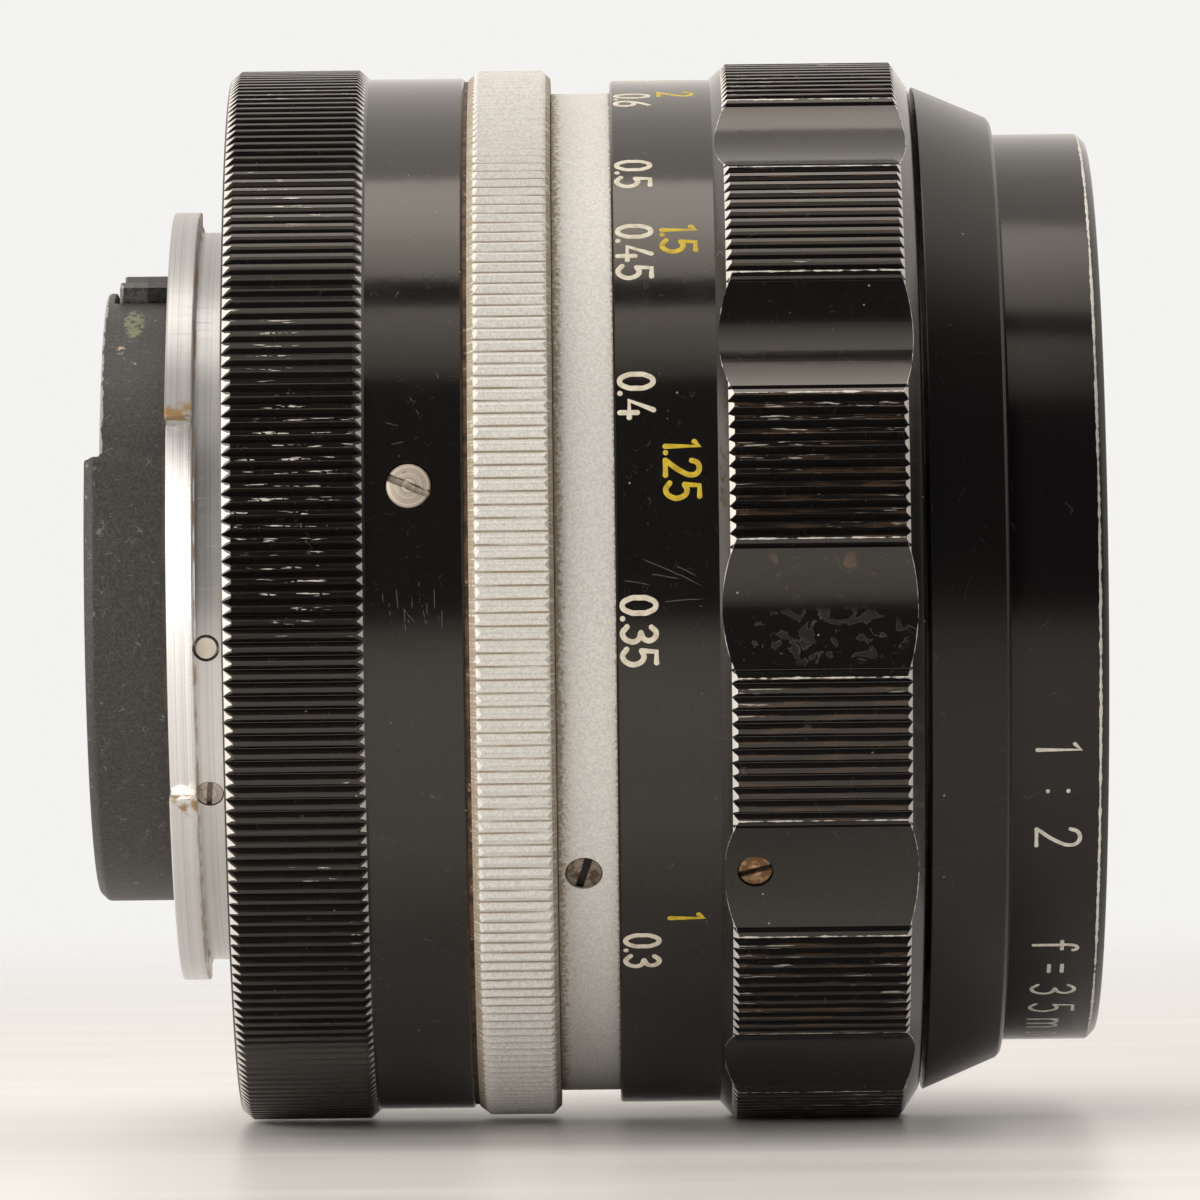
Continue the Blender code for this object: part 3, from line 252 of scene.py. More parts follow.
def sectionOf(node):
    # the outline of a turned CAD piece, where a plane below the axis cuts it
    cut = bmesh.new()
    cut.from_mesh(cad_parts[node].data)
    bmesh.ops.remove_doubles(cut, verts=cut.verts, dist=tiny)
    found = bmesh.ops.bisect_plane(cut, geom=cut.verts[:] + cut.edges[:] + cut.faces[:], dist=tiny,
                                   plane_co=(0, 0, 0), plane_no=(0, 1, 0))
    edges = [item for item in found["geom_cut"] if isinstance(item, bmesh.types.BMEdge)]
    shape = bmesh.new()
    for edge in edges:
        if max(vert.co.z for vert in edge.verts) < near:
            shape.edges.new([shape.verts.new(vert.co) for vert in edge.verts])
    cut.free()
    bmesh.ops.remove_doubles(shape, verts=shape.verts, dist=near)
    bends = {vert: vert.calc_edge_angle(math.pi) for vert in shape.verts}
    straight = [vert for vert, bend in bends.items() if bend < 0.01]
    bmesh.ops.dissolve_verts(shape, verts=straight)
    return shape


def easeCorner(shape, station, radius, size):
    # cut one corner of an outline
    corner = min(shape.verts, key=lambda vert: (vert.co - Vector((station, 0.0, -radius))).length)
    for edge in corner.link_edges[:]:
        bmesh.utils.edge_split(edge, corner, size / edge.calc_length())
    bmesh.ops.dissolve_verts(shape, verts=[corner])


def turnedAgain(node, steps=180):
    shape = sectionOf(node)
    return spun(shape.verts[:], shape.edges[:], shape, steps)


def knurledAgain(node, settings):
    # a CAD ring with V grooves: six steps for each tooth, four on its eased flat and two down in the groove
    shape = sectionOf(node)
    top = max(-vert.co.z for vert in shape.verts)
    shoulders = {}
    for vert in shape.verts:
        if -vert.co.z > top - near:
            ends = [edge.other_vert(vert) for edge in vert.link_edges]
            low = min(ends, key=lambda other: -other.co.z)
            inner = low.co.x + math.copysign(settings["run"], vert.co.x - low.co.x)
            shoulders[round(vert.co.x, 7)] = (inner, (low.co.x - inner) / (top + low.co.z))
    if "band" in settings:
        easeCorner(shape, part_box(node)[1].x, settings["band"], settings["bandEase"])
    spun(shape.verts[:], shape.edges[:], shape, 6 * settings["teeth"])
    return cutTeeth(shape, settings, top, shoulders)


def cutTeeth(shape, settings, top, shoulders, turn=0.0):
    # shoulders gives each end of the flats its station and how far it moves on for every unit of depth
    pitch = 2 * math.pi / settings["teeth"]
    half = settings["crestShare"] / 2
    inside = half - settings["easeShare"]
    root = 0.5 - settings["rootShare"] / 2
    angles = (-inside, inside, half, root, 1 - root, 1 - half)
    eased = 0.09                                                # the flat's edges, as a share of the depth
    drops = [share * settings["toothDepth"] for share in (0.0, 0.0, eased, 1.0, 1.0, eased)]
    for vert in shape.verts:
        radius = math.hypot(vert.co.y, vert.co.z)
        tooth, phase = divmod(round(math.atan2(-vert.co.z, -vert.co.y) / pitch * 6), 6)
        x = vert.co.x
        if radius > top - near:
            station, slope = shoulders[round(x, 7)]
            x = station + slope * drops[phase]
            radius -= drops[phase]
        vert.co = Vector((x, 0, 0)) + radius * outward((tooth + angles[phase]) * pitch + turn)
    return shape


def rodOf(radius, low, high, place, steps=40):
    shape = bmesh.new()
    lift = Matrix.Translation((0, 0, (low + high) / 2))
    bmesh.ops.create_cone(shape, cap_ends=True, segments=steps, radius1=radius, radius2=radius,
                          depth=high - low, matrix=place @ lift)
    return shape


def radialPlace(station, radius, angle):
    # local Z away from the axis, local X along it
    spot = Matrix.Translation(Vector((station, 0, 0)) + radius * outward(angle))
    return spot @ Matrix.Rotation(angle + math.pi / 2, 4, "X")


def soften(shape, width, limit=30.0, segments=2):
    sharp = [edge for edge in shape.edges if edge.calc_face_angle(0.0) > math.radians(limit)]
    bmesh.ops.bevel(shape, geom=sharp, offset=width, offset_type="OFFSET", affect="EDGES", segments=segments,
                    profile=0.5, material=-1, clamp_overlap=True)
    return shape


def join(*shapes):
    mesh = bpy.data.meshes.new("joined")
    whole = bmesh.new()
    for shape in shapes:
        shape.to_mesh(mesh)
        whole.from_mesh(mesh)
        shape.free()
    bpy.data.meshes.remove(mesh)
    return whole


def loose(shape, name):
    mesh = bpy.data.meshes.new(name)
    shape.to_mesh(mesh)
    shape.free()
    item = bpy.data.objects.new(name, mesh)
    bpy.context.scene.collection.objects.link(item)
    return item


def carved(shape, *tools):
    # cut the tools out of the shape
    body = loose(shape, "carvedBody")
    cutters = [loose(tool, "carvingTool") for tool in tools]
    for cutter in cutters:
        cut = body.modifiers.new("cut", "BOOLEAN")
        cut.object = cutter
        cut.solver = "EXACT"
    result = bmesh.new()
    result.from_object(body, bpy.context.evaluated_depsgraph_get())
    for item in [body] + cutters:
        bpy.data.meshes.remove(item.data)
    return result


def finished(name, shape, finish, body, nodes=(), smooth=20.0):
    item = loose(shape, name)
    item.data.shade_smooth()
    item.data.set_sharp_from_angle(angle=math.radians(smooth))
    item.data.materials.clear()
    item.data.materials.append(finish.material)
    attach(item, body)
    if nodes:
        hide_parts(*nodes)
    return item


def refined(node, width, finish, body):
    # a CAD piece as it is, with its corners eased
    shape = bmesh.new()
    shape.from_mesh(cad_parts[node].data)
    bmesh.ops.remove_doubles(shape, verts=shape.verts, dist=tiny)
    bmesh.ops.dissolve_limit(shape, angle_limit=math.radians(1.0), verts=shape.verts, edges=shape.edges)
    soften(shape, width)
    return finished(node + "_fine", shape, finish, body, [node])


# Finishes

warmSheen = (1.0, 0.94, 0.87, 1.0)
bareMetal = (0.82, 0.80, 0.76)
brassing = (0.17, 0.098, 0.052)
pale = (0.55, 0.53, 0.50)

focusRing = {
    "scaleRadius": 30.4 * mm, "gripRadius": 31.5 * mm, "noseRadius": 29.85 * mm,
    "scaleLength": 5.9 * mm, "flareLength": 0.95 * mm, "gripLength": 9.65 * mm,
    "bore": 28.6 * mm, "sleeveBore": 29.86 * mm, "sleeveLength": 6.3 * mm,
    "teeth": 252, "toothDepth": 0.40 * mm, "crestShare": 0.40, "easeShare": 0.045, "rootShare": 0.05,
    "toothTurn": math.radians(0.5714),
    "scallops": 12, "scallopWidth": math.radians(14.45), "scallopDepth": 0.95 * mm,
    "scallopPhase": math.radians(2.0), "lip": 0.12 * mm,
}
apertureRing = {
    "teeth": 252, "toothDepth": 0.42 * mm, "crestShare": 0.40, "easeShare": 0.05, "rootShare": 0.05,
    "run": 0.62 * mm, "rearFall": 0.5 * mm, "knurlLength": 8.2 * mm, "band": 30.65 * mm,
    "bandEase": 0.12 * mm,
}
gripRing = {
    "teeth": 252, "toothDepth": 0.27 * mm, "crestShare": 0.16, "easeShare": 0.04, "rootShare": 0.05,
    "run": 0.5 * mm, "rear": 13.86 * mm,
}
bayonet = {
    "tube": 21.65 * mm, "bore": 19.3 * mm, "rim": 22.1 * mm, "tab": 22.85 * mm, "tabFront": -2.1 * mm,
    "reach": -3.7 * mm, "tabWidth": math.radians(62.0),
    "tabAngles": [math.radians(degrees) for degrees in (-58.0, 62.0, 182.0)],
    "amberEnds": [math.radians(degrees) for degrees in (-27.6, 32.0)], "tabRoot": 0.4 * mm,
    "rimFall": 0.55 * mm, "ease": 0.10 * mm,
}

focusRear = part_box("focus_ring")[0].x
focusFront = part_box("focus_ring")[1].x
scaleEnd = focusRear + focusRing["scaleLength"]
gripStart = scaleEnd + focusRing["flareLength"]
gripEnd = gripStart + focusRing["gripLength"]
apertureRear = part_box("aperture_ring")[0].x
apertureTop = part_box("aperture_ring")[1].z
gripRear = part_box("grip_ring")[0].x
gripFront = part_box("grip_ring")[1].x
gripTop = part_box("grip_ring")[1].z


def scallopShape():
    grip = focusRing["gripRadius"]
    floor = grip - focusRing["scallopDepth"]
    half = focusRing["scallopWidth"] / 2
    rise = grip * math.cos(half) - floor
    radius = ((grip * math.sin(half)) ** 2 + rise ** 2) / (2 * rise)
    return floor, radius


def enamel(finish, bare, brown, marked):
    # worn glossy black: bare metal on the edges, brown where it is rubbed thin, scratches and dust
    finish.feed("Specular IOR Level", 0.75)
    finish.feed("Specular Tint", warmSheen)
    dust = finish.specks(650.0, 0.05, 0.30).atLeast(finish.specks(1700.0, 0.07, 0.10) * 0.7)
    broken = finish.noise(700.0, 1.0).rise(0.56, 0.60)
    patches = finish.noise(110.0, 2.0).rise(0.54, 0.64) * broken
    hairs = finish.arcs(950.0, 0.006) * finish.noise(1600.0, 1.0).rise(0.58, 0.62) * 0.35
    scratch = (finish.arcs(330.0, 0.0035) * patches * 0.7).atLeast(hairs).atLeast(marked)
    cloud = finish.noise(420.0, 4.0)
    grime = finish.noise(1300.0, 4.0)
    colour = finish.blend(grime, (0.0075, 0.0071, 0.0069), (0.0135, 0.0127, 0.0122))
    colour = finish.blend(brown, colour, brassing)
    colour = finish.blend(scratch * 0.5, colour, (0.20, 0.19, 0.185))
    colour = finish.blend(dust * 0.6, colour, pale)
    finish.feed("Base Color", finish.blend(bare, colour, bareMetal))
    finish.feed("Metallic", bare * 0.4)
    finish.feed("Roughness", 0.09 + cloud * 0.07 + bare * 0.4 + scratch * 0.2 + brown * 0.3)
    finish.bump(grime * 1.2 + cloud * 0.8 + bare * -0.8 - scratch * 0.4, 0.07, 0.00004)
    return finish


def apertureEnamel():
    finish = Finish("apertureEnamel")
    s = apertureRing
    x, radius = finish.x, finish.radius
    knurlEnd = apertureRear + s["knurlLength"]
    valley = apertureTop - s["toothDepth"]
    phase = finish.toothPhase(s)
    rough = finish.noise(1500.0, 3.0)
    rear = finish.onLine((apertureRear, apertureTop - s["rearFall"]), (apertureRear + s["run"], apertureTop))
    front = finish.onLine((knurlEnd, s["band"]), (knurlEnd - s["run"], apertureTop))
    fromRear = (1 - (x - apertureRear) / s["run"]).atLeast(0.0) * x.rise(knurlEnd, knurlEnd - 1.0 * mm)
    fromFront = (1 - (knurlEnd - x) / (s["run"] * 0.8)).atLeast(0.0) * x.rise(knurlEnd + 0.02 * mm, knurlEnd)
    reach = (rear * fromRear).atLeast(front * fromFront)
    taper = 1 - (1 - reach).root()
    tips = (taper * 0.72 + (rough - 0.5) * 0.30 - phase).rise(-0.02, 0.02) * reach.rise(0.02, 0.06)
    ends = tips * radius.rise(valley - 0.02 * mm, valley + 0.03 * mm)
    crest = radius.rise(apertureTop - 0.03 * mm, apertureTop - 0.01 * mm)
    dashes = finish.along(620.0, 260.0, 4.0).rise(0.575, 0.595) * finish.noise(120.0, 2.0).rise(0.58, 0.63)
    dashes = dashes * (phase - rough * 0.20).rise(0.03, 0.01) * finish.noise(3800.0, 2.0).rise(0.38, 0.44)
    bare = ends.atLeast(crest * dashes)
    scratches = [((11.4, -36.2), (12.2, -37.1)), ((9.2, -18.5), (10.1, -18.0)),
                 ((10.6, -21.4), (11.3, -18.6)), ((12.04, -24.8), (12.3, -23.2)),
                 ((9.7, -33.2), (10.2, -35.0)), ((10.1, 1.5), (10.9, 3.4)),
                 ((11.2, 1.0), (11.5, 4.2)), ((9.5, -15.9), (11.2, -16.8))]
    for number in range(9):                                     # a row of short ones side by side
        step = number * 3 % 5
        scratches.append(((8.9 + 0.43 * number, 0.7 * step - 1.3), (9.05 + 0.41 * number, 0.8 * step + 1.2)))
    marked = finish.strokes(scratches)
    marked = marked * finish.noise(2600.0, 1.0).rise(0.40, 0.52) * 0.8
    edges = abs(phase - s["crestShare"] / 2).rise(0.06, 0.02)
    edges = edges * radius.rise(valley + 0.3 * mm, valley + 0.36 * mm)
    brown = edges * finish.along(420.0, 90.0, 3.0).rise(0.36, 0.62) * 0.15
    return enamel(finish, bare, brown, marked)


def focusEnamel():
    finish = Finish("focusEnamel")
    s = focusRing
    x, radius = finish.x, finish.radius
    grip = s["gripRadius"]
    flare = (grip - s["scaleRadius"]) / s["flareLength"]
    front = (grip - s["noseRadius"]) / (focusFront - gripEnd)
    plain = ((x - scaleEnd) * flare + s["scaleRadius"]).atMost((focusFront - x) * front + s["noseRadius"])
    plain = plain.atMost(grip)                                  # the ring before its scallops were cut
    floor, scallop = scallopShape()
    period = 2 * math.pi / s["scallops"]
    turn = (finish.angle - s["scallopPhase"] + period / 2) % period - period / 2
    reach = floor + scallop
    side = turn.calc("SINE", turn) * reach
    hollow = turn.calc("COSINE", turn) * reach - (scallop * scallop - side * side).root()
    rough = finish.noise(700.0, 4.0)
    fine = finish.noise(2600.0, 3.0)
    rubbed = (rough * 0.09 + fine * 0.08 - 0.066) * mm          # how far the paint is gone from an edge
    outline = (rubbed - abs(hollow - plain)).rise(0.0, 0.012 * mm)
    outline = outline * x.rise(scaleEnd + 0.15 * mm, scaleEnd + 0.3 * mm)
    valley = grip - s["toothDepth"]
    onCone = abs(radius - plain).rise(0.05 * mm, 0.02 * mm)
    onCone = onCone * (1 - finish.between(gripStart, gripEnd, 0.01 * mm))
    phase = finish.toothPhase(s, s["toothTurn"])
    high = (radius - valley) / s["toothDepth"]
    tips = (0.46 - high * 0.34 + (fine - 0.5) * 0.22 - phase).rise(-0.02, 0.02)
    ends = onCone * tips * high.rise(0.0, 0.1)
    crest = radius.rise(grip - 0.03 * mm, grip - 0.01 * mm)
    dashes = finish.along(620.0, 280.0, 4.0).rise(0.585, 0.605) * finish.noise(160.0, 2.0).rise(0.52, 0.58)
    bare = outline.atLeast(ends).atLeast(crest * dashes * 0.6)
    rust = finish.noise(520.0, 3.0)
    spots = rust.rise(0.78, 0.84) * x.rise(scaleEnd, gripStart)
    spots = spots.atLeast(rust.rise(0.60, 0.66) * finish.spot(33.5 * mm, -1.6, 6.0 * mm, 3.6))
    edges = abs(phase - s["crestShare"] / 2).rise(0.07, 0.02)
    edges = edges * radius.rise(grip - 0.10 * mm, grip - 0.04 * mm)
    rubbing = edges.atLeast(crest * 0.5) * finish.along(330.0, 120.0, 4.0).rise(0.46, 0.66) * 0.5
    brown = (spots * 0.5).atLeast(rubbing)
    peeled = finish.noise(880.0, 3.0, distortion=1.0)
    flake = 0.555                                               # the noise's height at the flakes' edges
    flakes = abs(peeled - flake).rise(0.016, 0.006).atLeast(peeled.rise(flake, flake + 0.01) * 0.35)
    flakes = flakes * finish.spot(34.0 * mm, 4.9, 6.5 * mm, 4.2).rise(0.2, 0.5)
    flakes = flakes * finish.angle.rise(0.03, 0.045)
    scratches = [((22.66, -1.0), (24.25, -0.5)), ((23.6, -3.4), (27.36, -0.3)), ((24.2, -1.7), (26.0, -1.1)),
                 ((24.9, 1.2), (27.36, 0.75)), ((25.6, -2.6), (26.9, -1.4))]
    return enamel(finish, bare, brown, finish.strokes(scratches).atLeast(flakes * 0.6))


def satinSilver(name, dirtStations, valley=None, crest=None):
    finish = Finish(name)
    grain = finish.noise(6500.0, 1.0)
    cloud = finish.noise(260.0, 4.0)
    fine = finish.noise(1900.0, 3.0)
    speckle = finish.noise(4200.0, 3.0)
    dirtLines = []
    for station, width in dirtStations:
        close = (1 - abs(finish.x - station) / width).atLeast(0.0)
        dirtLines.append((close * 0.7 + (speckle - 0.5) * 1.3).rise(0.22, 0.75) * close.rise(0.0, 0.3))
    dirt = strongest(dirtLines)
    metal = finish.blend(grain.rise(0.30, 0.70), (0.80, 0.785, 0.75), (0.96, 0.945, 0.915))
    pits = finish.specks(2600.0, 0.13, 0.14)
    metal = finish.blend(pits * 0.3, metal, (0.36, 0.33, 0.27))
    if valley:
        groove = finish.radius.rise(valley + 0.06 * mm, valley + 0.01 * mm)
        dirt = dirt.atLeast(groove * finish.along(300.0, 200.0).rise(0.20, 0.55))
        # painted shade: a thin grey line along the knurl's ridge tops stands in for the shaded crest edges
        ridge = finish.radius.rise(crest - 0.03 * mm, crest - 0.01 * mm)
        metal = finish.blend(ridge * fine * 0.6, metal, (0.50, 0.50, 0.505))
    finish.feed("Base Color", finish.blend(dirt * 0.8, metal, (0.30, 0.215, 0.115)))
    finish.feed("Metallic", 0.04)
    finish.feed("Roughness", 0.42 + cloud * 0.10 + dirt * 0.2)
    finish.bump(grain + cloud * 0.3, 0.30, 0.00005)
    return finish


def chromeFinish():
    finish = Finish("mountChrome")
    marks = finish.lines(9000.0, 4.0)
    broad = finish.lines(2600.0, 2.0)
    cross = finish.along(220.0, 330.0, 3.0).rise(0.55, 0.75)
    wide, narrow = math.radians(2.4), math.radians(0.6)
    ends = [abs(finish.angle - end).rise(wide, narrow) for end in bayonet["amberEnds"]]
    onTabs = finish.radius.rise(22.2 * mm, 22.4 * mm) * finish.x.rise(-1.9 * mm, -2.0 * mm)
    groove = abs(finish.x + 2.08 * mm).rise(0.16 * mm, 0.02 * mm) * finish.noise(520.0, 3.0).rise(0.42, 0.60)
    amber = strongest(ends) * onTabs * finish.noise(1300.0, 3.0).rise(0.40, 0.60)
    amber = amber.atLeast(groove * 0.7)                         # old grease at the tabs' ends and behind them
    streak = (marks * 0.6 + broad * 0.4).rise(0.32, 0.68)
    # painted shade and light: the chrome is coloured darker at the top and brighter towards the bottom, for
    # how the lamps fall on it
    paintedShadeTop = finish.blend(streak, (0.34, 0.345, 0.355), (0.52, 0.515, 0.505))
    paintedLightBottom = finish.blend(streak, (0.66, 0.66, 0.665), (0.90, 0.89, 0.875))
    metal = finish.blend(finish.z.rise(15.8 * mm, -14.0 * mm), paintedShadeTop, paintedLightBottom)
    finish.feed("Base Color", finish.blend(amber * 0.9, metal, (0.36, 0.21, 0.06)))
    finish.feed("Metallic", 0.78 - amber * 0.5)
    finish.feed("Roughness", 0.22 + marks * 0.16 + cross * 0.10 + amber * 0.3)
    finish.bump(marks + broad * 0.6 + cross * 0.25, 0.28, 0.00003)
    return finish


def guardFinish():
    finish = Finish("guardSatin")
    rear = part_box("rear_guard")[0].x
    stepTop, stepEnd = math.radians(-27.0), math.radians(-153.0)
    above = finish.angle.rise(stepTop + 0.01, stepTop - 0.01)
    above = above * finish.angle.rise(stepEnd - 0.01, stepEnd + 0.01)
    fromRear = finish.x - rear - above * (0.9 * mm)
    speckle = finish.noise(2600.0, 3.0)
    cloud = finish.noise(240.0, 4.0)
    fine = finish.noise(1400.0, 4.0)
    drawn = finish.along(2600.0, 30.0, 3.0)
    rim = fromRear.rise(0.42 * mm, 0.0) * finish.radius.rise(17.55 * mm, 17.85 * mm)
    edge = (rim + (fine - 0.5) * 1.5).rise(0.62, 0.85)
    chips = finish.specks(900.0, 0.11, 0.30) * cloud.rise(0.45, 0.6)
    hairs = finish.arcs(800.0, 0.006).atLeast(finish.arcs(1300.0, 0.006))
    hairs = hairs * finish.noise(1500.0, 1.0).rise(0.54, 0.58)
    tan = finish.spot(-6.6 * mm, -53.0, 0.35 * mm, 1.6) * fine.rise(0.42, 0.50)
    green = finish.spot(-5.9 * mm, -63.0, 0.8 * mm, 8.0).rise(0.1, 0.6) * speckle.rise(0.36, 0.58)
    seam = finish.x.rise(-4.15 * mm, -3.85 * mm) * finish.noise(500.0, 2.0).rise(0.35, 0.6)
    grain = finish.noise(7000.0, 3.0).rise(0.32, 0.68)
    tone = grain * 0.6 + speckle * 0.2 + drawn * 0.2
    colour = finish.blend(tone, (0.017, 0.0160, 0.0150), (0.068, 0.064, 0.0595))
    colour = finish.blend(finish.radius.rise(18.3 * mm, 18.6 * mm), colour, (0.17, 0.165, 0.16))
    colour = finish.blend(green * 0.9, colour, (0.22, 0.235, 0.12))
    colour = finish.blend(seam * 0.5, colour, (0.16, 0.10, 0.05))
    colour = finish.blend(hairs * 0.5, colour, (0.26, 0.255, 0.24))
    colour = finish.blend(tan, colour, (0.62, 0.50, 0.38))
    colour = finish.blend(chips.atLeast(edge) * 0.8, colour, (0.46, 0.445, 0.42))
    finish.feed("Base Color", colour)
    finish.feed("Roughness", 0.42 + cloud * 0.16)
    finish.bump(speckle + drawn * 0.6 + edge * -0.8 + green * fine, 0.45, 0.00005)
    return finish


def leverFinish():
    finish = Finish("leverRough")
    fine = finish.noise(1800.0, 4.0)
    broad = finish.noise(700.0, 3.0)
    tab = finish.x.rise(-5.2 * mm, -5.35 * mm)
    worn = (finish.x.rise(-6.5 * mm, -6.9 * mm) + (broad - 0.5) * 1.8).rise(0.55, 0.75) * tab
    colour = finish.blend(fine.rise(0.35, 0.65), (0.018, 0.018, 0.018), (0.085, 0.085, 0.08))
    # painted shadow: in front of the tab the lever is coloured near black, standing in for the shaded recess
    # beside it
    colour = finish.blend(tab, (0.006, 0.006, 0.006), colour)
    finish.feed("Base Color", finish.blend(worn * 0.8, colour, (0.42, 0.42, 0.40)))
    finish.feed("Roughness", 0.40 + fine * 0.3)
    finish.bump(fine + broad, 0.9, 0.00012)
    return finish


def gapFinish():
    # the brown ring down in the gap, with pale grains caught in it
    finish = Finish("gapBrass")
    cloud = finish.noise(1400.0, 4.0)
    grains = finish.specks(2600.0, 0.30, 0.30)
    colour = finish.blend(cloud.rise(0.35, 0.65), (0.055, 0.034, 0.020), (0.20, 0.125, 0.07))
    finish.feed("Base Color", finish.blend(grains * cloud, colour, (0.62, 0.48, 0.33)))
    finish.feed("Metallic", 0.35)
    finish.feed("Roughness", 0.45 + cloud * 0.2)
    finish.bump(cloud + grains * 0.5, 0.4, 0.00005)
    return finish


def anodisedFinish():
    finish = Finish("barrelAnodised", Specular_IOR_Level=0.45, Specular_Tint=warmSheen)
    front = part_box("front_barrel")[1].x
    marks = finish.lines(5200.0, 3.0)
    rub = finish.noise(300.0, 4.0)
    fine = finish.noise(2400.0, 4.0)
    lip = (1 - abs(finish.x - (front - 0.52 * mm)) / (0.16 * mm)).atLeast(-1.0)
    bare = (lip + (rub - 0.5) * 0.8 + (fine - 0.5) * 1.1).rise(0.50, 0.66)
    bare = bare * finish.radius.rise(26.0 * mm, 26.3 * mm)
    dust = finish.specks(560.0, 0.05, 0.22)
    scratch = finish.arcs(300.0, 0.0035) * finish.noise(700.0, 1.0).rise(0.58, 0.62) * 0.16
    colour = finish.blend(marks, (0.0058, 0.0048, 0.0056), (0.0105, 0.0085, 0.0098))
    colour = finish.blend(scratch, colour, (0.16, 0.15, 0.15))
    colour = finish.blend(dust * 0.6, colour, pale)
    finish.feed("Base Color", finish.blend(bare, colour, bareMetal))
    finish.feed("Metallic", bare * 0.5)
    cone = finish.x.rise(44.9 * mm, 44.5 * mm)
    finish.feed("Roughness", 0.12 + rub * 0.08 + bare * 0.3 + cone * 0.08)
    finish.bump(marks + rub * 0.2, 0.06, 0.00003)
    return finish


def plainMetal(name, dark, light, roughness, stain=None, metallic=1.0):
    # turned or drawn metal that shows little: two tones, marks and a stain
    finish = Finish(name, metallic=metallic)
    marks = finish.lines(7000.0, 3.0)
    cloud = finish.noise(900.0, 4.0)
    colour = finish.blend(marks * 0.6 + cloud * 0.4, dark, light)
    if stain:
        colour = finish.blend(cloud.rise(0.42, 0.66), colour, stain)
    finish.feed("Base Color", colour)
    finish.feed("Roughness", roughness + cloud * 0.15)
    finish.bump(marks + cloud * 0.4, 0.15, 0.00003)
    return finish


def screwFinish(node, s):
    # faced on a lathe: fine rings round the screw's own middle, with grime in the slot
    finish = Finish(node + "_finish")
    low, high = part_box(node)
    middle = (low + high) / 2
    across = outward(math.atan2(-middle.z, -middle.y) + math.pi / 2)
    sideways = finish.add("ShaderNodeVectorMath", {"operation": "DOT_PRODUCT"},
                          {0: finish.place, 1: across}, output=1) - middle.dot(across)
    lengthways = finish.x - middle.x
    turn = math.radians(s["turn"])
    fromSlot = abs(lengthways * math.sin(turn) + sideways * math.cos(turn)) / (s["slot"] * mm)
    fromMiddle = (sideways * sideways + lengthways * lengthways).root()
    rings = finish.noise(1.0, 2.0, finish.vector(fromMiddle * 5200.0, 0.0))
    cloud = finish.noise(1800.0, 4.0)
    colour = finish.blend(rings.rise(0.30, 0.70), s["dark"], s["light"])
    rust = cloud.rise(s["stained"], s["stained"] + 0.16)
    colour = finish.blend(rust, colour, s["stain"])
    lips = fromSlot.rise(0.34, 0.44) * fromSlot.rise(0.68, 0.54) * cloud.rise(0.38, 0.50)
    slot = (fromSlot.rise(0.62, 0.46) * s.get("grime", 0.9)).atLeast(lips * 0.8)
    finish.feed("Base Color", finish.blend(slot, colour, (0.020, 0.014, 0.009)))
    finish.feed("Metallic", (1.0 - rust * 0.7) * (1.0 - slot * 0.8) * s.get("metal", 1.0))
    finish.feed("Roughness", 0.26 + cloud * 0.16 + rust * 0.3 + slot * 0.3)
    finish.bump(rings + cloud * 0.6, 0.30, 0.00004)
    return finish


def matteBlack(name, roughness, dark=(0.010, 0.0098, 0.0096), light=(0.022, 0.021, 0.020)):
    finish = Finish(name)
    cloud = finish.noise(1600.0, 4.0)
    marks = finish.lines(4200.0, 2.0)
    finish.feed("Base Color", finish.blend(cloud * 0.5 + marks * 0.5, dark, light))
    finish.feed("Roughness", roughness + cloud * 0.12)
    finish.bump(marks + cloud, 0.20, 0.00004)
    return finish


def paintFinish(name, colour, worn):
    finish = Finish(name)
    cloud = finish.noise(2400.0, 3.0)
    finish.feed("Base Color", finish.blend(cloud.rise(0.35, 0.75), colour, worn))
    finish.feed("Roughness", 0.50 + cloud * 0.2)
    finish.bump(cloud, 0.2, 0.00003)
    return finish


def glassFinish(name, tint, film):
    finish = Finish(name, colour=tint, roughness=0.0, Transmission_Weight=1.0, IOR=1.62,
                    Thin_Film_Thickness=film, Thin_Film_IOR=1.38)
    dust = finish.specks(420.0, 0.035, 0.25)
    finish.feed("Roughness", dust * 0.35)
    return finish


apertureBlack = apertureEnamel()
focusBlack = focusEnamel()
silverKnurl = satinSilver("gripSilver", [(gripRear, 0.25 * mm), (gripFront, 0.35 * mm)],
                          gripTop - gripRing["toothDepth"], gripTop)
silverPlain = satinSilver("depthSilver", [(gripFront + 0.10 * mm, 0.75 * mm), (focusRear, 0.2 * mm)])
chrome = chromeFinish()
guardBlack = guardFinish()
barrelBlack = anodisedFinish()
brass = gapFinish()
innerBrass = plainMetal("innerBrass", (0.42, 0.29, 0.12), (0.62, 0.46, 0.22), 0.32)
bareAluminium = plainMetal("innerAluminium", (0.34, 0.335, 0.33), (0.52, 0.515, 0.50), 0.38)
bladeSteel = plainMetal("bladeSteel", (0.055, 0.055, 0.058), (0.10, 0.10, 0.105), 0.34)
steel = plainMetal("screwSteel", (0.40, 0.38, 0.36), (0.66, 0.64, 0.61), 0.26, (0.30, 0.25, 0.20))
pinSteel = plainMetal("pinSteel", (0.58, 0.51, 0.43), (0.86, 0.79, 0.69), 0.35, metallic=0.3)
springSteel = plainMetal("springSteel", (0.20, 0.195, 0.19), (0.36, 0.35, 0.34), 0.28)
cellBlack = matteBlack("cellBlack", 0.62)
trimBlack = matteBlack("trimBlack", 0.40)
leverBlack = leverFinish()
prongBlack = matteBlack("prongBlack", 0.30)
cream = paintFinish("creamPaint", (0.90, 0.85, 0.71), (0.70, 0.62, 0.46))
yellow = paintFinish("yellowPaint", (0.80, 0.60, 0.03), (0.55, 0.36, 0.02))
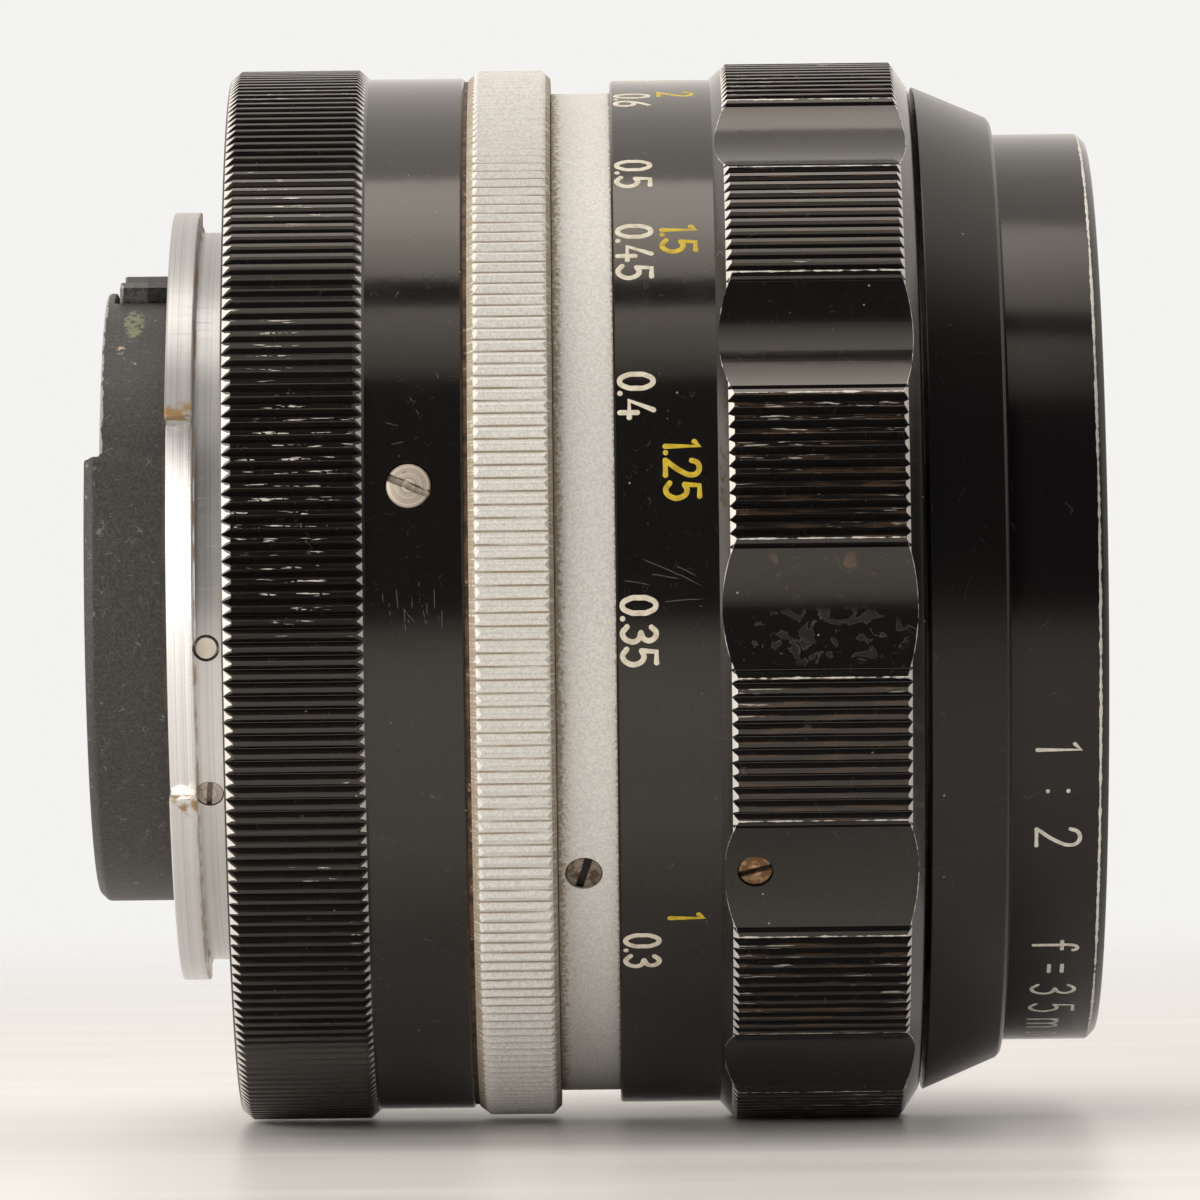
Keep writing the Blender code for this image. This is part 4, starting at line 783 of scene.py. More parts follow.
white = paintFinish("whitePaint", (0.84, 0.82, 0.72), (0.60, 0.57, 0.48))
darkFill = paintFinish("darkFill", (0.012, 0.012, 0.012), (0.03, 0.03, 0.03))
frontGlass = glassFinish("frontGlass", (0.97, 0.97, 0.99), 130.0)
innerGlass = glassFinish("innerGlass", (0.98, 0.98, 0.97), 110.0)
print("finishes made")

# Screws: faced heads with a driver slot, each at the place of its CAD node


def screwShape(radius, depth, slotWidth, slotDepth, slotTurn, crown):
    shape = bmesh.new()
    bmesh.ops.create_cone(shape, cap_ends=True, segments=48, radius1=radius, radius2=radius, depth=depth,
                          matrix=Matrix.Translation((0, 0, -depth / 2)))
    rim = [edge for edge in shape.edges if min(vert.co.z for vert in edge.verts) > -tiny]
    bmesh.ops.bevel(shape, geom=rim, offset=radius * 0.10, offset_type="OFFSET", affect="EDGES", segments=3,
                    profile=0.5, material=-1)
    across = Vector((-math.sin(slotTurn), math.cos(slotTurn), 0))
    for side in (-1, 1):
        bmesh.ops.bisect_plane(shape, geom=shape.verts[:] + shape.edges[:] + shape.faces[:], dist=tiny,
                               plane_co=across * side * slotWidth / 2, plane_no=across)
    slot = [face for face in shape.faces
            if face.normal.z > 0.1 and abs(face.calc_center_median().dot(across)) < slotWidth / 2]
    sunk = bmesh.ops.extrude_face_region(shape, geom=slot)["geom"]
    bmesh.ops.delete(shape, geom=slot, context="FACES_ONLY")
    for vert in [item for item in sunk if isinstance(item, bmesh.types.BMVert)]:
        vert.co.z = -slotDepth
    bmesh.ops.recalc_face_normals(shape, faces=shape.faces)
    for vert in shape.verts:
        if vert.co.z > -slotDepth / 2:
            vert.co.z += crown * (1 - (vert.co.xy.length / radius) ** 2)
    return shape


# Sizes in millimetres. A head lies sink below its CAD node's end, in a hole of its own gap and pocket depth.
depthScrew = {
    "body": "fixed", "radius": 1.035, "slot": 0.36, "sink": 0.05, "gap": 0.05, "pocket": 0.5,
    "dark": (0.22, 0.20, 0.18), "light": (0.46, 0.43, 0.39), "stain": (0.14, 0.09, 0.05),
}
focusScrew = {
    "body": "focus", "radius": 0.98, "slot": 0.32, "sink": 0.10, "gap": 0.05, "pocket": 0.6,
    "dark": (0.26, 0.17, 0.11), "light": (0.52, 0.36, 0.24), "stain": (0.11, 0.045, 0.02),
}
prongScrew = {
    "body": "aperture", "radius": 1.1, "slot": 0.36, "sink": 0.0,
    "dark": (0.40, 0.38, 0.36), "light": (0.68, 0.66, 0.63), "stain": (0.16, 0.12, 0.09), "stained": 0.62,
}
screws = {
    "aperture_ring_screw": {
        "body": "aperture", "radius": 1.285, "slot": 0.40, "turn": -24.0, "sink": 0.0, "gap": 0.06,
        "pocket": 0.6, "dark": (0.50, 0.42, 0.34), "light": (0.95, 0.86, 0.75), "stain": (0.20, 0.13, 0.09),
        "stained": 0.62, "metal": 0.30, "grime": 0.12,
    },
    "depth_ring_screw_1": {
        **depthScrew, "slot": 0.42, "turn": 74.0, "dark": (0.20, 0.17, 0.13), "light": (0.44, 0.38, 0.31),
        "stain": (0.13, 0.085, 0.05), "stained": 0.48,
    },
    "depth_ring_screw_2": {**depthScrew, "turn": 30.0, "stained": 0.54},
    "depth_ring_screw_3": {**depthScrew, "turn": 120.0, "stained": 0.58},
    "focus_ring_screw_1": {
        **focusScrew, "turn": 16.0, "dark": (0.34, 0.21, 0.11), "light": (0.66, 0.44, 0.24),
        "stain": (0.20, 0.095, 0.04), "stained": 0.42,
    },
    "focus_ring_screw_2": {**focusScrew, "turn": 55.0, "stained": 0.46},
    "focus_ring_screw_3": {**focusScrew, "turn": 110.0, "stained": 0.50},
    "guard_screw": {
        "body": "fixed", "radius": 0.775, "slot": 0.26, "turn": 86.0, "sink": 0.04, "gap": 0.05,
        "pocket": 0.6, "dark": (0.40, 0.34, 0.31), "light": (0.66, 0.58, 0.53), "stain": (0.18, 0.12, 0.09),
        "stained": 0.56, "metal": 0.60, "grime": 0.35,
    },
    "prong_screw_1": {**prongScrew, "turn": 15.0},
    "prong_screw_2": {**prongScrew, "turn": 70.0},
}
screwHead = {"depth": 1.0 * mm, "slotDepth": 0.32 * mm, "crown": 0.03 * mm}
mountScrews = {"radius": 1.35 * mm, "slot": 0.42 * mm, "depth": 0.9 * mm, "slotDepth": 0.35 * mm,
               "crown": 0.05 * mm, "turn": math.radians(37.0), "gap": 0.12 * mm, "pocket": 1.1 * mm}


def nodeTop(node):
    # station, height and angle of a CAD screw's outer end
    low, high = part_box(node)
    middle = (low + high) / 2
    angle = math.atan2(-middle.z, -middle.y)
    height = max(vert.co.dot(outward(angle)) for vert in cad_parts[node].data.vertices)
    return middle.x, height, angle


def makeScrews():
    head = screwHead
    for node, s in screws.items():
        station, height, angle = nodeTop(node)
        shape = screwShape(s["radius"] * mm, head["depth"], s["slot"] * mm, head["slotDepth"],
                           math.radians(s["turn"]), head["crown"])
        place = radialPlace(station, height - s["sink"] * mm, angle)
        bmesh.ops.transform(shape, verts=shape.verts, matrix=place)
        finished(node + "_fine", shape, screwFinish(node, s), s["body"], [node])


def screwPocket(node):
    s = screws[node]
    station, height, angle = nodeTop(node)
    place = radialPlace(station, height, angle)
    return rodOf((s["radius"] + s["gap"]) * mm, -s["pocket"] * mm, 2 * mm, place)


def makeMountScrews():
    s = mountScrews
    for number in range(1, 6):
        node = f"mount_screw_{number}"
        low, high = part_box(node)
        middle = (low + high) / 2
        shape = screwShape(s["radius"], s["depth"], s["slot"], s["slotDepth"], s["turn"] * number, s["crown"])
        spot = Matrix.Translation((low.x, middle.y, middle.z)) @ Matrix.Rotation(-math.pi / 2, 4, "Y")
        bmesh.ops.transform(shape, verts=shape.verts, matrix=spot)
        finished(node + "_fine", shape, steel, "fixed", [node])


makeScrews()
makeMountScrews()
print("screws made")

# Rings


def makeApertureRing():
    shape = knurledAgain("aperture_ring", apertureRing)
    shape = carved(shape, screwPocket("aperture_ring_screw"))
    finished("apertureRing", shape, apertureBlack, "aperture", ["aperture_ring"])


def makeGripRing():
    shape = knurledAgain("grip_ring", gripRing)
    for vert in shape.verts:
        if vert.co.x < gripRear + near:
            vert.co.x = gripRing["rear"]
    finished("gripRing", shape, silverKnurl, "fixed", ["grip_ring"])


depthRing = {"rearGap": 0.03 * mm, "ease": 0.06 * mm}


def makeDepthRing():
    shape = turnedAgain("depth_scale_ring", 240)
    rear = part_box("depth_scale_ring")[0].x
    for vert in shape.verts:
        if vert.co.x < rear + near:
            vert.co.x = gripFront + depthRing["rearGap"]
    soften(shape, depthRing["ease"])
    pockets = [screwPocket(f"depth_ring_screw_{number}") for number in (1, 2, 3)]
    shape = carved(shape, join(*pockets))
    finished("depthRing", shape, silverPlain, "fixed", ["depth_scale_ring"])


def makeFocusRing():
    s = focusRing
    grip = s["gripRadius"]
    sleeveEnd = focusRear + s["sleeveLength"]
    nose = s["noseRadius"]
    scale = s["scaleRadius"]
    lip = s["lip"]
    profile = [(focusFront, nose), (gripEnd, grip), (gripStart, grip), (scaleEnd, scale),
               (focusRear + lip, scale), (focusRear, scale - lip), (focusRear, s["sleeveBore"]),
               (sleeveEnd, s["sleeveBore"]), (sleeveEnd, s["bore"]), (focusFront, s["bore"])]
    shape = turned(profile, 6 * s["teeth"])
    shoulders = {
        round(gripEnd, 7): (gripEnd, (focusFront - gripEnd) / (grip - nose)),
        round(gripStart, 7): (gripStart, -s["flareLength"] / (grip - scale)),
    }
    cutTeeth(shape, s, grip, shoulders, s["toothTurn"])
    floor, radius = scallopShape()
    hollows = []
    for number in range(s["scallops"]):
        angle = s["scallopPhase"] + 2 * math.pi * number / s["scallops"]
        place = Matrix.Translation((floor + radius) * outward(angle)) @ Matrix.Rotation(math.pi / 2, 4, "Y")
        hollows.append(rodOf(radius, scaleEnd - 1.0 * mm, focusFront + 1.0 * mm, place, 288))
    pockets = [screwPocket(f"focus_ring_screw_{number}") for number in (1, 2, 3)]
    shape = carved(shape, join(*hollows), join(*pockets))
    finished("focusRing", shape, focusBlack, "focus", ["focus_ring"])


bearingRing = {"radius": 30.45 * mm}


def makeBearingRing():
    shape = turnedAgain("aperture_bearing_ring")
    outer = -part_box("aperture_bearing_ring")[0].z
    for vert in shape.verts:
        if math.hypot(vert.co.y, vert.co.z) > outer - near:
            vert.co.yz = vert.co.yz * (bearingRing["radius"] / outer)
    finished("bearingRing", shape, brass, "fixed", ["aperture_bearing_ring"])


makeApertureRing()
makeGripRing()
makeDepthRing()
makeFocusRing()
makeBearingRing()
print("rings made")

# Front barrel and front glass

thread = {"pitch": 0.75 * mm, "depth": 0.32 * mm, "bore": 25.8 * mm, "wall": 0.2 * mm, "turns": 4,
          "inset": 0.45 * mm}


def makeFrontBarrel():
    shape = soften(turnedAgain("front_barrel", 240), 0.10 * mm)
    finished("frontBarrel", shape, barrelBlack, "carriage", ["front_barrel"])


def makeFilterThread():
    t = thread
    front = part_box("front_barrel")[1].x - t["inset"]
    profile = []
    for turn in range(t["turns"]):
        start = front - turn * t["pitch"]
        profile += [(start, t["bore"]), (start - t["pitch"] * 0.5, t["bore"] - t["depth"])]
    end = front - t["turns"] * t["pitch"]
    profile += [(end, t["bore"]), (end, t["bore"] + t["wall"]), (front, t["bore"] + t["wall"])]
    finished("filterThread", turned(profile), trimBlack, "carriage")


trimRing = {                                                    # millimetres
    "rear": 42.21, "seat": 45.35, "front": 46.25, "outer": 25.5, "lip": 24.6, "bore": 17.6, "back": 18.5,
    "grooveRadius": 23.7, "groove": 0.22, "ridges": 6, "ridgeStart": 20.6, "fall": 0.45,
}


def makeTrimRing():
    # a shallow cone with one groove outside and fine anti-glare ridges inside
    s = trimRing
    slope = s["fall"] / (s["lip"] - s["bore"])
    profile = [(s["front"], s["outer"])]

    def cone(radius, depth=0.0):
        profile.append((s["front"] - slope * (s["lip"] - radius) - depth, radius))

    cone(s["lip"])
    cone(s["grooveRadius"] + s["groove"])
    cone(s["grooveRadius"] + s["groove"] / 2, s["groove"])
    cone(s["grooveRadius"] - s["groove"] / 2, s["groove"])
    cone(s["grooveRadius"] - s["groove"])
    pitch = (s["ridgeStart"] - s["bore"]) / s["ridges"]
    ridge = pitch * 0.45
    for number in range(s["ridges"]):
        radius = s["ridgeStart"] - number * pitch
        cone(radius)
        cone(radius - ridge, pitch / 2 - slope * ridge)
    profile += [(s["front"] - s["fall"], s["bore"]), (s["rear"], s["bore"]), (s["rear"], s["back"]),
                (s["seat"], s["back"]), (s["seat"], s["outer"])]
    shape = turned([(x * mm, r * mm) for x, r in profile], 240)
    finished("trimRing", shape, trimBlack, "carriage", ["front_trim_ring"])


def makeTurnedCells():
    for node in ("front_cell", "doublet_retaining_ring", "front_spacer_ring", "rear_cell",
                 "rear_spacer_ring_1", "rear_spacer_ring_2", "rear_retaining_ring"):
        shape = soften(turnedAgain(node), 0.05 * mm)
        finished(node + "_fine", shape, cellBlack, "carriage", [node])


# each glass in millimetres: how far its two faces bulge forwards, and the flat rim round a hollow face
glasses = {
    "lens_element_1": {"front": 3.71, "rear": 3.74, "rearRim": 4.0},
    "lens_element_2": {"front": 3.32, "rear": -2.61},
    "lens_element_3": {"front": -2.61, "rear": 2.0, "rearRim": 3.8},
    "lens_element_4": {"front": 2.17, "rear": -1.06},
    "lens_element_5": {"front": -1.75, "rear": 1.58, "frontRim": 1.0},
    "lens_element_6": {"front": 1.58, "rear": -1.84},
    "lens_element_7": {"front": -1.02, "rear": -2.67},
    "lens_element_8": {"front": 1.07, "rear": -1.68},
}


def glassFace(edge, bulge, clear, steps=16):
    # points of a spherical face from the middle out; edge is the station of its rim
    curve = (clear ** 2 + bulge ** 2) / (2 * bulge)
    points = []
    for index in range(steps + 1):
        radius = clear * index / steps
        drop = math.copysign(abs(curve) - math.sqrt(curve ** 2 - radius ** 2), curve)
        points.append((edge + bulge - drop, radius))
    return points


def makeGlasses():
    for node, s in glasses.items():
        low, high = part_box(node)
        radius = -low.z
        frontBulge = s["front"] * mm
        rearBulge = s["rear"] * mm
        frontEdge = high.x - max(frontBulge, 0.0)
        rearEdge = low.x - min(rearBulge, 0.0)
        front = glassFace(frontEdge, frontBulge, radius - s.get("frontRim", 0.0) * mm)
        rear = glassFace(rearEdge, rearBulge, radius - s.get("rearRim", 0.0) * mm)
        if "frontRim" in s:
            front.append((frontEdge, radius))
        if "rearRim" in s:
            rear.append((rearEdge, radius))
        shape = turned(front + rear[::-1], 120, closed=False)
        finish = frontGlass if node in ("lens_element_1", "lens_element_8") else innerGlass
        finished(node + "_fine", shape, finish, "carriage", [node])


makeFrontBarrel()
makeFilterThread()
makeTrimRing()
makeTurnedCells()
makeGlasses()
print("front barrel and glass made")

# Bayonet, tail and lever

locatingPin = {"radius": 0.62 * mm, "collar": 0.78 * mm, "angle": math.radians(8.0), "station": -1.4 * mm,
               "collarDepth": 1.5 * mm, "length": 1.2 * mm, "proud": 0.02 * mm, "ease": 0.08 * mm}


def arcBlock(rear, front, bore, radius, middle, width, steps=48):
    # part of a ring, from one face swept round the axis
    shape = bmesh.new()
    start = middle - width / 2
    corners = [(rear, bore), (front, bore), (front, radius), (rear, radius)]
    verts = [shape.verts.new(Vector((x, 0, 0)) + r * outward(start)) for x, r in corners]
    face = shape.faces.new(verts)
    bmesh.ops.spin(shape, geom=[face] + face.edges[:] + verts, cent=(0, 0, 0), axis=(1, 0, 0), angle=width,
                   steps=steps)
    bmesh.ops.remove_doubles(shape, verts=shape.verts, dist=tiny)
    bmesh.ops.recalc_face_normals(shape, faces=shape.faces)
    return shape


def makeBayonet():
    s = bayonet
    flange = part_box("bayonet_mount")
    outer = flange[1].z
    profile = [(flange[1].x, outer), (0.0, outer), (0.0, s["tube"]), (s["tabFront"], s["tube"]),
               (s["tabFront"], s["rim"]), (s["reach"], s["rim"] - s["rimFall"]), (s["reach"], s["bore"]),
               (flange[1].x, s["bore"])]
    shape = soften(turned(profile, 240), s["ease"])
    pin = locatingPin
    place = radialPlace(pin["station"], s["tube"], pin["angle"])
    tools = [rodOf(pin["collar"], -pin["collarDepth"], 2 * mm, place), screwPocket("guard_screw")]
    for number in range(1, 6):
        low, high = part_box(f"mount_screw_{number}")
        middle = (low + high) / 2
        place = Matrix.Translation((0, middle.y, middle.z)) @ Matrix.Rotation(math.pi / 2, 4, "Y")
        hole = mountScrews["radius"] + mountScrews["gap"]
        tools.append(rodOf(hole, -1.0 * mm, mountScrews["pocket"], place))
    shape = carved(shape, join(*tools))
    apart = 0.001 * mm                                          # keeps the tabs' faces off the tube's
    tabs = []
    for angle in s["tabAngles"]:
        tab = arcBlock(s["reach"] + apart, s["tabFront"] + apart, s["tube"] - s["tabRoot"], s["tab"], angle,
                       s["tabWidth"])
        tabs.append(soften(tab, s["ease"]))
    finished("bayonetMount", join(shape, *tabs), chrome, "fixed", ["bayonet_mount"])


def makeLocatingPin():
    pin = locatingPin
    place = radialPlace(pin["station"], bayonet["tube"] + pin["proud"], pin["angle"])
    shape = soften(rodOf(pin["radius"], -pin["length"], 0.0, place, 48), pin["ease"])
    finished("locatingPin", shape, pinSteel, "fixed", ["mount_locating_pin"])


makeBayonet()
makeLocatingPin()
refined("rear_guard", 0.12 * mm, guardBlack, "fixed")
refined("stop_down_lever", 0.10 * mm, leverBlack, "lever")
refined("meter_prong", 0.12 * mm, prongBlack, "aperture")
print("bayonet, tail and lever made")

# Inner pieces keep their CAD shapes

innerPieces = {
    "main_barrel": bareAluminium, "inner_barrel": bareAluminium, "guide_key": innerBrass,
    "guide_key_screw": steel, "helicoid_retainer": innerBrass, "focus_helicoid": innerBrass,
    "click_ball": springSteel, "click_spring": springSteel, "iris_base": cellBlack,
    "iris_drive_ring": innerBrass, **{f"iris_blade_{number}": bladeSteel for number in range(1, 7)},
}
for node, finish in innerPieces.items():
    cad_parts[node].data.materials.clear()
    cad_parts[node].data.materials.append(finish.material)
print("inner pieces finished")

# Engraved numbers: strokes of one width, filled with paint.
# A glyph is drawn 1 high. It has a width and its lines, each closed or not, smooth or not, with its points.


def ringLine(*points):
    return True, True, points


def bentLine(*points):
    return False, True, points


def straightLine(*points):
    return False, False, points


glyphs = {
    "0": (0.45, ringLine((0.225, 0), (0.02, 0.24), (0, 0.5), (0.02, 0.76), (0.225, 1), (0.43, 0.76),
                         (0.45, 0.5), (0.43, 0.24))),
    "1": (0.20, straightLine((0.03, 0.86), (0.17, 1), (0.17, 0))),
    "2": (0.46, bentLine((0.01, 0.78), (0.08, 0.94), (0.24, 1), (0.4, 0.93), (0.45, 0.75), (0.36, 0.5),
                         (0, 0)), straightLine((0, 0), (0.46, 0))),
    "3": (0.44, bentLine((0.02, 0.86), (0.2, 1), (0.4, 0.87), (0.38, 0.65), (0.18, 0.55)),
          bentLine((0.18, 0.55), (0.4, 0.45), (0.44, 0.22), (0.22, 0), (0, 0.14))),
    "4": (0.54, straightLine((0.3, 1), (0, 0.28), (0.54, 0.28)), straightLine((0.38, 0.52), (0.38, 0))),
    "5": (0.44, straightLine((0.41, 1), (0.08, 1), (0.05, 0.56)),
          bentLine((0.05, 0.56), (0.25, 0.63), (0.43, 0.46), (0.43, 0.18), (0.22, 0), (0, 0.12))),
    "6": (0.46, bentLine((0.38, 1), (0.12, 0.66), (0, 0.3), (0.08, 0.06), (0.23, 0), (0.39, 0.06),
                         (0.46, 0.28), (0.38, 0.5), (0.23, 0.56), (0.08, 0.5), (0, 0.3))),
    "7": (0.44, straightLine((0, 1), (0.44, 1), (0.15, 0))),
    "8": (0.46, ringLine((0.23, 1), (0.06, 0.9), (0.06, 0.64), (0.23, 0.54), (0.4, 0.64), (0.4, 0.9)),
          ringLine((0.23, 0.54), (0.03, 0.42), (0.02, 0.14), (0.23, 0), (0.44, 0.14), (0.43, 0.42))),
    ".": (-0.06, straightLine((-0.07, 0.01), (-0.06, 0.01))),
    ":": (0.10, straightLine((0.05, 0.25), (0.06, 0.25)), straightLine((0.05, 0.72), (0.06, 0.72))),
    "=": (0.30, straightLine((0, 0.38), (0.3, 0.38)), straightLine((0, 0.68), (0.3, 0.68))),
    "f": (0.34, bentLine((0.34, 0.92), (0.3, 1), (0.2, 1), (0.14, 0.86), (0.14, 0.62)),
          straightLine((0.14, 0.62), (0.14, 0)), straightLine((0.0, 0.66), (0.3, 0.66))),
    "m": (0.70, straightLine((0, 0.66), (0, 0)),
          bentLine((0, 0.5), (0.16, 0.66), (0.33, 0.56), (0.35, 0.3), (0.35, 0)),
          bentLine((0.35, 0.5), (0.52, 0.66), (0.68, 0.56), (0.7, 0.3), (0.7, 0))),
    "mark": (0.0, straightLine((0, 0), (0, 1))),
    "endless": (0.9, ringLine((0.45, 0.5), (0.22, 0.28), (0, 0.5), (0.22, 0.72), (0.45, 0.5), (0.68, 0.28),
                              (0.9, 0.5), (0.68, 0.72))),
}


def strokeCurve(text, height, width, spacing):
    curve = bpy.data.curves.new("strokes", "CURVE")
    curve.dimensions = "3D"
    curve.bevel_depth = width / 2
    curve.bevel_resolution = 2
    curve.use_fill_caps = True
    curve.resolution_u = 6
    pen = 0.0
    tips = []
    letters = [text] if text in glyphs else text                # a glyph's whole name, or letters
    for letter in letters:
        advance, *lines = glyphs[letter]
        for closed, smooth, points in lines:
            spline = curve.splines.new("BEZIER" if smooth else "POLY")
            ends = spline.bezier_points if smooth else spline.points
            ends.add(len(points) - 1)
            for end, (u, v) in zip(ends, points):
                spot = ((pen + u) * height, v * height, 0.0)
                if smooth:
                    end.co = spot
                    end.handle_left_type = "AUTO"
                    end.handle_right_type = "AUTO"
                else:
                    end.co = (*spot, 1.0)
            spline.use_cyclic_u = closed
            if not closed:
                tips += [((pen + u) * height, v * height, 0.0) for u, v in (points[0], points[-1])]
        pen += advance + spacing
    return curve, tips, (pen - spacing) * height


paintLift = 0.012 * mm                                          # how far the paint stands above the metal


def engraved(name, text, degrees, spacing, s, paint, body):
    # the glyphs' tops point to the front glass, and the words run down round the barrel
    radius, width = s["radius"], s["stroke"]
    curve, tips, length = strokeCurve(text, s["height"], width, spacing)
    drawn = bpy.data.objects.new(name, curve)
    bpy.context.scene.collection.objects.link(drawn)
    mesh = bpy.data.meshes.new_from_object(drawn.evaluated_get(bpy.context.evaluated_depsgraph_get()))
    shape = bmesh.new()
    shape.from_mesh(mesh)
    bpy.data.meshes.remove(mesh)
    bpy.data.curves.remove(curve)
    for tip in tips:
        bmesh.ops.create_uvsphere(shape, u_segments=12, v_segments=6, radius=width / 2,
                                  matrix=Matrix.Translation(tip))
    for vert in shape.verts:
        turn = math.radians(degrees) + (vert.co.x - length / 2) / radius
        height = radius + vert.co.z * 2 * paintLift / width
        vert.co = Vector((s["station"] + vert.co.y, 0, 0)) + height * outward(turn)
    bmesh.ops.remove_doubles(shape, verts=shape.verts, dist=tiny)
    bmesh.ops.recalc_face_normals(shape, faces=shape.faces)
    return finished(name, shape, paint, body)


metreScale = {
    "marks": [("0.6", -71.6), ("0.5", -52.6), ("0.45", -39.9), ("0.4", -21.4), ("0.35", 4.3), ("0.3", 42.9),
              ("0.7", -85.3), ("0.8", -95.5), ("1", -110.5), ("1.5", -126.5), ("3", -142.0),
              ("endless", -157.0)],
    "station": 22.55 * mm, "radius": focusRing["scaleRadius"], "height": 1.92 * mm, "stroke": 0.31 * mm,
}
feetScale = {
    "marks": [("2", -73.8), ("1.5", -41.7), ("1.25", -13.1), ("1", 37.9), ("2.5", -89.0), ("3", -99.0),
              ("4", -112.0), ("5", -120.0), ("10", -139.5), ("endless", -157.0)],
    "station": 25.1 * mm, "radius": focusRing["scaleRadius"], "height": 1.92 * mm, "stroke": 0.31 * mm,
}
apertureScale = {                                               # the prong's foot covers 4, 5.6 and 8
    "marks": [("2", -133.0), ("2.8", -141.0), ("11", -173.0), ("16", -181.0)],
    "station": 9.6 * mm, "radius": apertureRing["band"], "height": 2.0 * mm, "stroke": 0.31 * mm,
}
depthMarks = {
    "index": -157.0, "pairs": [3.2, 6.4, 12.8], "fromFocusRing": 0.25 * mm, "height": 2.2 * mm,
    "stroke": 0.18 * mm,
}
barrelWords = {
    "words": [("1:2", 26.5, 0.95), ("f=35mm", 65.5, 0.60)],
    "station": 46.2 * mm, "radius": 26.95 * mm, "height": 2.5 * mm, "stroke": 0.24 * mm,
}
digitSpacing = 0.23


def makeScale(name, s, paint, body):
    for number, (text, degrees) in enumerate(s["marks"]):
        engraved(f"{name}_{number}", text, degrees, digitSpacing, s, paint, body)


def makeDepthMarks():
    s = {**depthMarks, "radius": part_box("depth_scale_ring")[1].z,
         "station": focusRear - depthMarks["height"] - depthMarks["fromFocusRing"]}
    turns = [0.0] + [side * turn for turn in s["pairs"] for side in (-1, 1)]
    for number, turn in enumerate(turns):
        engraved(f"depth_mark_{number}", "mark", s["index"] + turn, 0.0, s, darkFill, "fixed")


def makeBarrelWords():
    s = barrelWords
    for number, (text, degrees, spacing) in enumerate(s["words"]):
        engraved(f"barrel_word_{number}", text, degrees, spacing, s, white, "carriage")


makeScale("metres", metreScale, cream, "focus")
makeScale("feet", feetScale, yellow, "focus")
makeScale("stop", apertureScale, cream, "aperture")
makeDepthMarks()
makeBarrelWords()
print("numbers made")

# Stage: pale floor that fades into the background and is painted dark towards the camera, softboxes and a
# camera

stage = {
    "floor": -31.37 * mm, "floorRadius": 1.0, "middle": Vector((0.02, -0.25)), "fadeStart": 0.32,
    "fadeEnd": 0.62, "paintedFrontShade": (-0.40, -0.07), "backdrop": (0.90, 0.8928, 0.8775),
    "behind": 1.05, "before": 0.02, "roomFade": (-0.25, 0.20),  # the room's light, behind and before
}
warmLight = (1.0, 0.94, 0.875)


def makeFloor():
    middle = stage["middle"]
    shape = bmesh.new()
    bmesh.ops.create_circle(shape, cap_ends=True, segments=96, radius=stage["floorRadius"],
                            matrix=Matrix.Translation((*middle, stage["floor"])))
    floor = loose(shape, "floor")
    finish = Finish("paleFloor", Specular_IOR_Level=0.3)
    across = finish.x - middle.x
    deep = finish.y - middle.y
    finish.feed("Alpha", (across * across + deep * deep).root().rise(stage["fadeEnd"], stage["fadeStart"]))
    streaks = finish.noise(1.0, 3.0, finish.vector(finish.x * 14.0, finish.y * 90.0))
    board = finish.blend(streaks.rise(0.3, 0.7), (0.82, 0.813, 0.806), (0.885, 0.879, 0.872))
    # painted shade: towards the camera the floor is near black, standing in for the dark room that the lens's
    # underside reflects
    finish.feed("Base Color", finish.blend(finish.y.rise(*stage["paintedFrontShade"]), (0.06, 0.055, 0.05), board))
    finish.feed("Roughness", 0.28 + streaks * 0.14)
    floor.data.materials.append(finish.material)


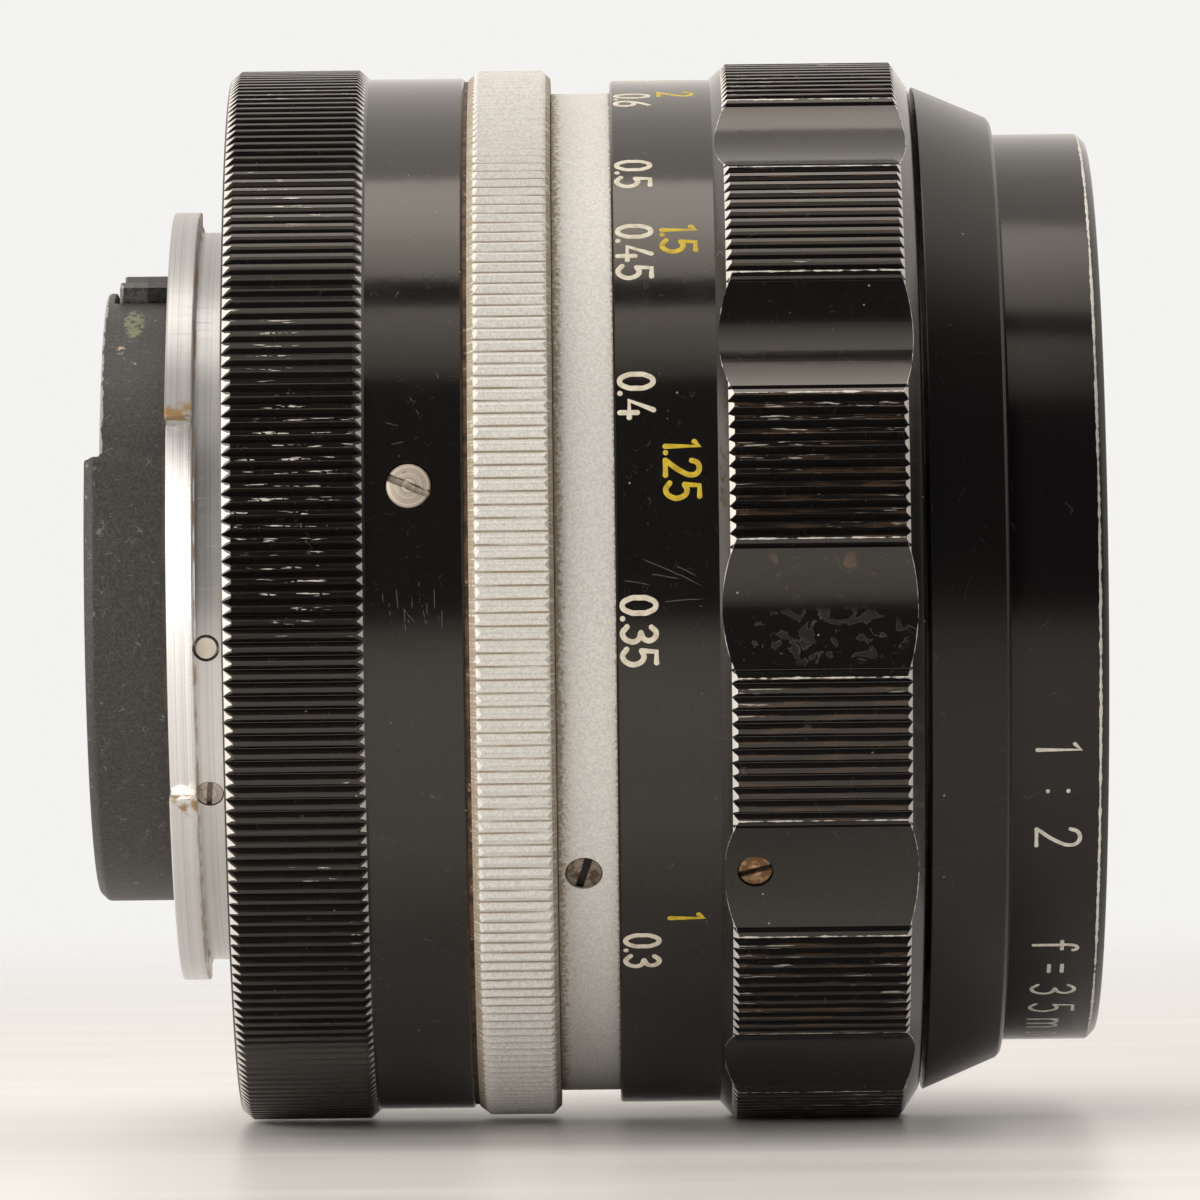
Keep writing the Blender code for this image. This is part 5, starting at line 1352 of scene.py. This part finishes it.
def makeWorld():
    # warm light that the lens stands in, and a plain backdrop for the camera to see
    world = bpy.data.worlds.new("studio")
    world.use_nodes = True
    room = Nodes(world.node_tree)
    before, behind = [[stage[side] * tone for tone in warmLight] for side in ("before", "behind")]
    place = room.add("ShaderNodeTexCoord", output="Generated")
    deep = room.add("ShaderNodeSeparateXYZ", sockets={0: place}, output=1)
    light = room.blend(deep.rise(*stage["roomFade"]), before, behind)
    lit = room.add("ShaderNodeBackground", sockets={"Color": light})
    shown = room.add("ShaderNodeBackground", sockets={"Color": (*stage["backdrop"], 1.0)})
    seen = room.add("ShaderNodeLightPath", output="Is Camera Ray")
    mixed = room.add("ShaderNodeMixShader", sockets={0: seen, 1: lit, 2: shown})
    room.tree.links.new(mixed.socket, room.tree.nodes["World Output"].inputs["Surface"])
    bpy.context.scene.world = world


softboxes = {                                                   # two overhead, with a dark gap between them
    "nearSoftbox": {"place": (-0.20, -0.416, 0.60), "target": (-0.20, -0.416, 0.0), "size": (1.0, 0.268),
                    "power": 0.47, "spread": math.radians(92.0)},
    "farSoftbox": {"place": (-0.20, -0.032, 0.60), "target": (-0.20, -0.032, 0.0), "size": (1.0, 0.324),
                   "power": 0.57, "spread": math.radians(92.0)},
    "leftSoftbox": {"place": (-0.60, -0.40, 0.15), "target": (0.0, 0.0, 0.0), "size": (0.9, 0.6),
                    "power": 6.0, "spread": math.radians(180.0)},
}


def makeSoftboxes():
    for name, s in softboxes.items():
        light = bpy.data.lights.new(name, "AREA")
        light.shape = "RECTANGLE"
        light.size, light.size_y = s["size"]
        light.energy = s["power"]
        light.color = warmLight
        light.spread = s["spread"]
        lamp = bpy.data.objects.new(name, light)
        bpy.context.scene.collection.objects.link(lamp)
        lamp.location = s["place"]
        lamp.rotation_euler = (Vector(s["target"]) - Vector(s["place"])).to_track_quat("-Z", "Y").to_euler()


photoCamera = {"distance": 0.612, "station": 21.3 * mm, "height": -0.5 * mm, "roll": math.radians(-0.66),
               "lens": 307.9, "sensor": 36.0}                   # lens and sensor in millimetres


def makeCamera():
    s = photoCamera
    camera = bpy.data.cameras.new("photoCamera")
    camera.lens = s["lens"]
    camera.sensor_width = s["sensor"]
    item = bpy.data.objects.new("photoCamera", camera)
    bpy.context.scene.collection.objects.link(item)
    spot = Matrix.Translation((s["station"], -s["distance"], s["height"]))
    item.matrix_world = spot @ Matrix.Rotation(math.pi / 2, 4, "X") @ Matrix.Rotation(s["roll"], 4, "Z")
    bpy.context.scene.camera = item


makeFloor()
makeWorld()
makeSoftboxes()
bpy.context.scene.view_settings.view_transform = "Standard"
makeCamera()
print("stage made")
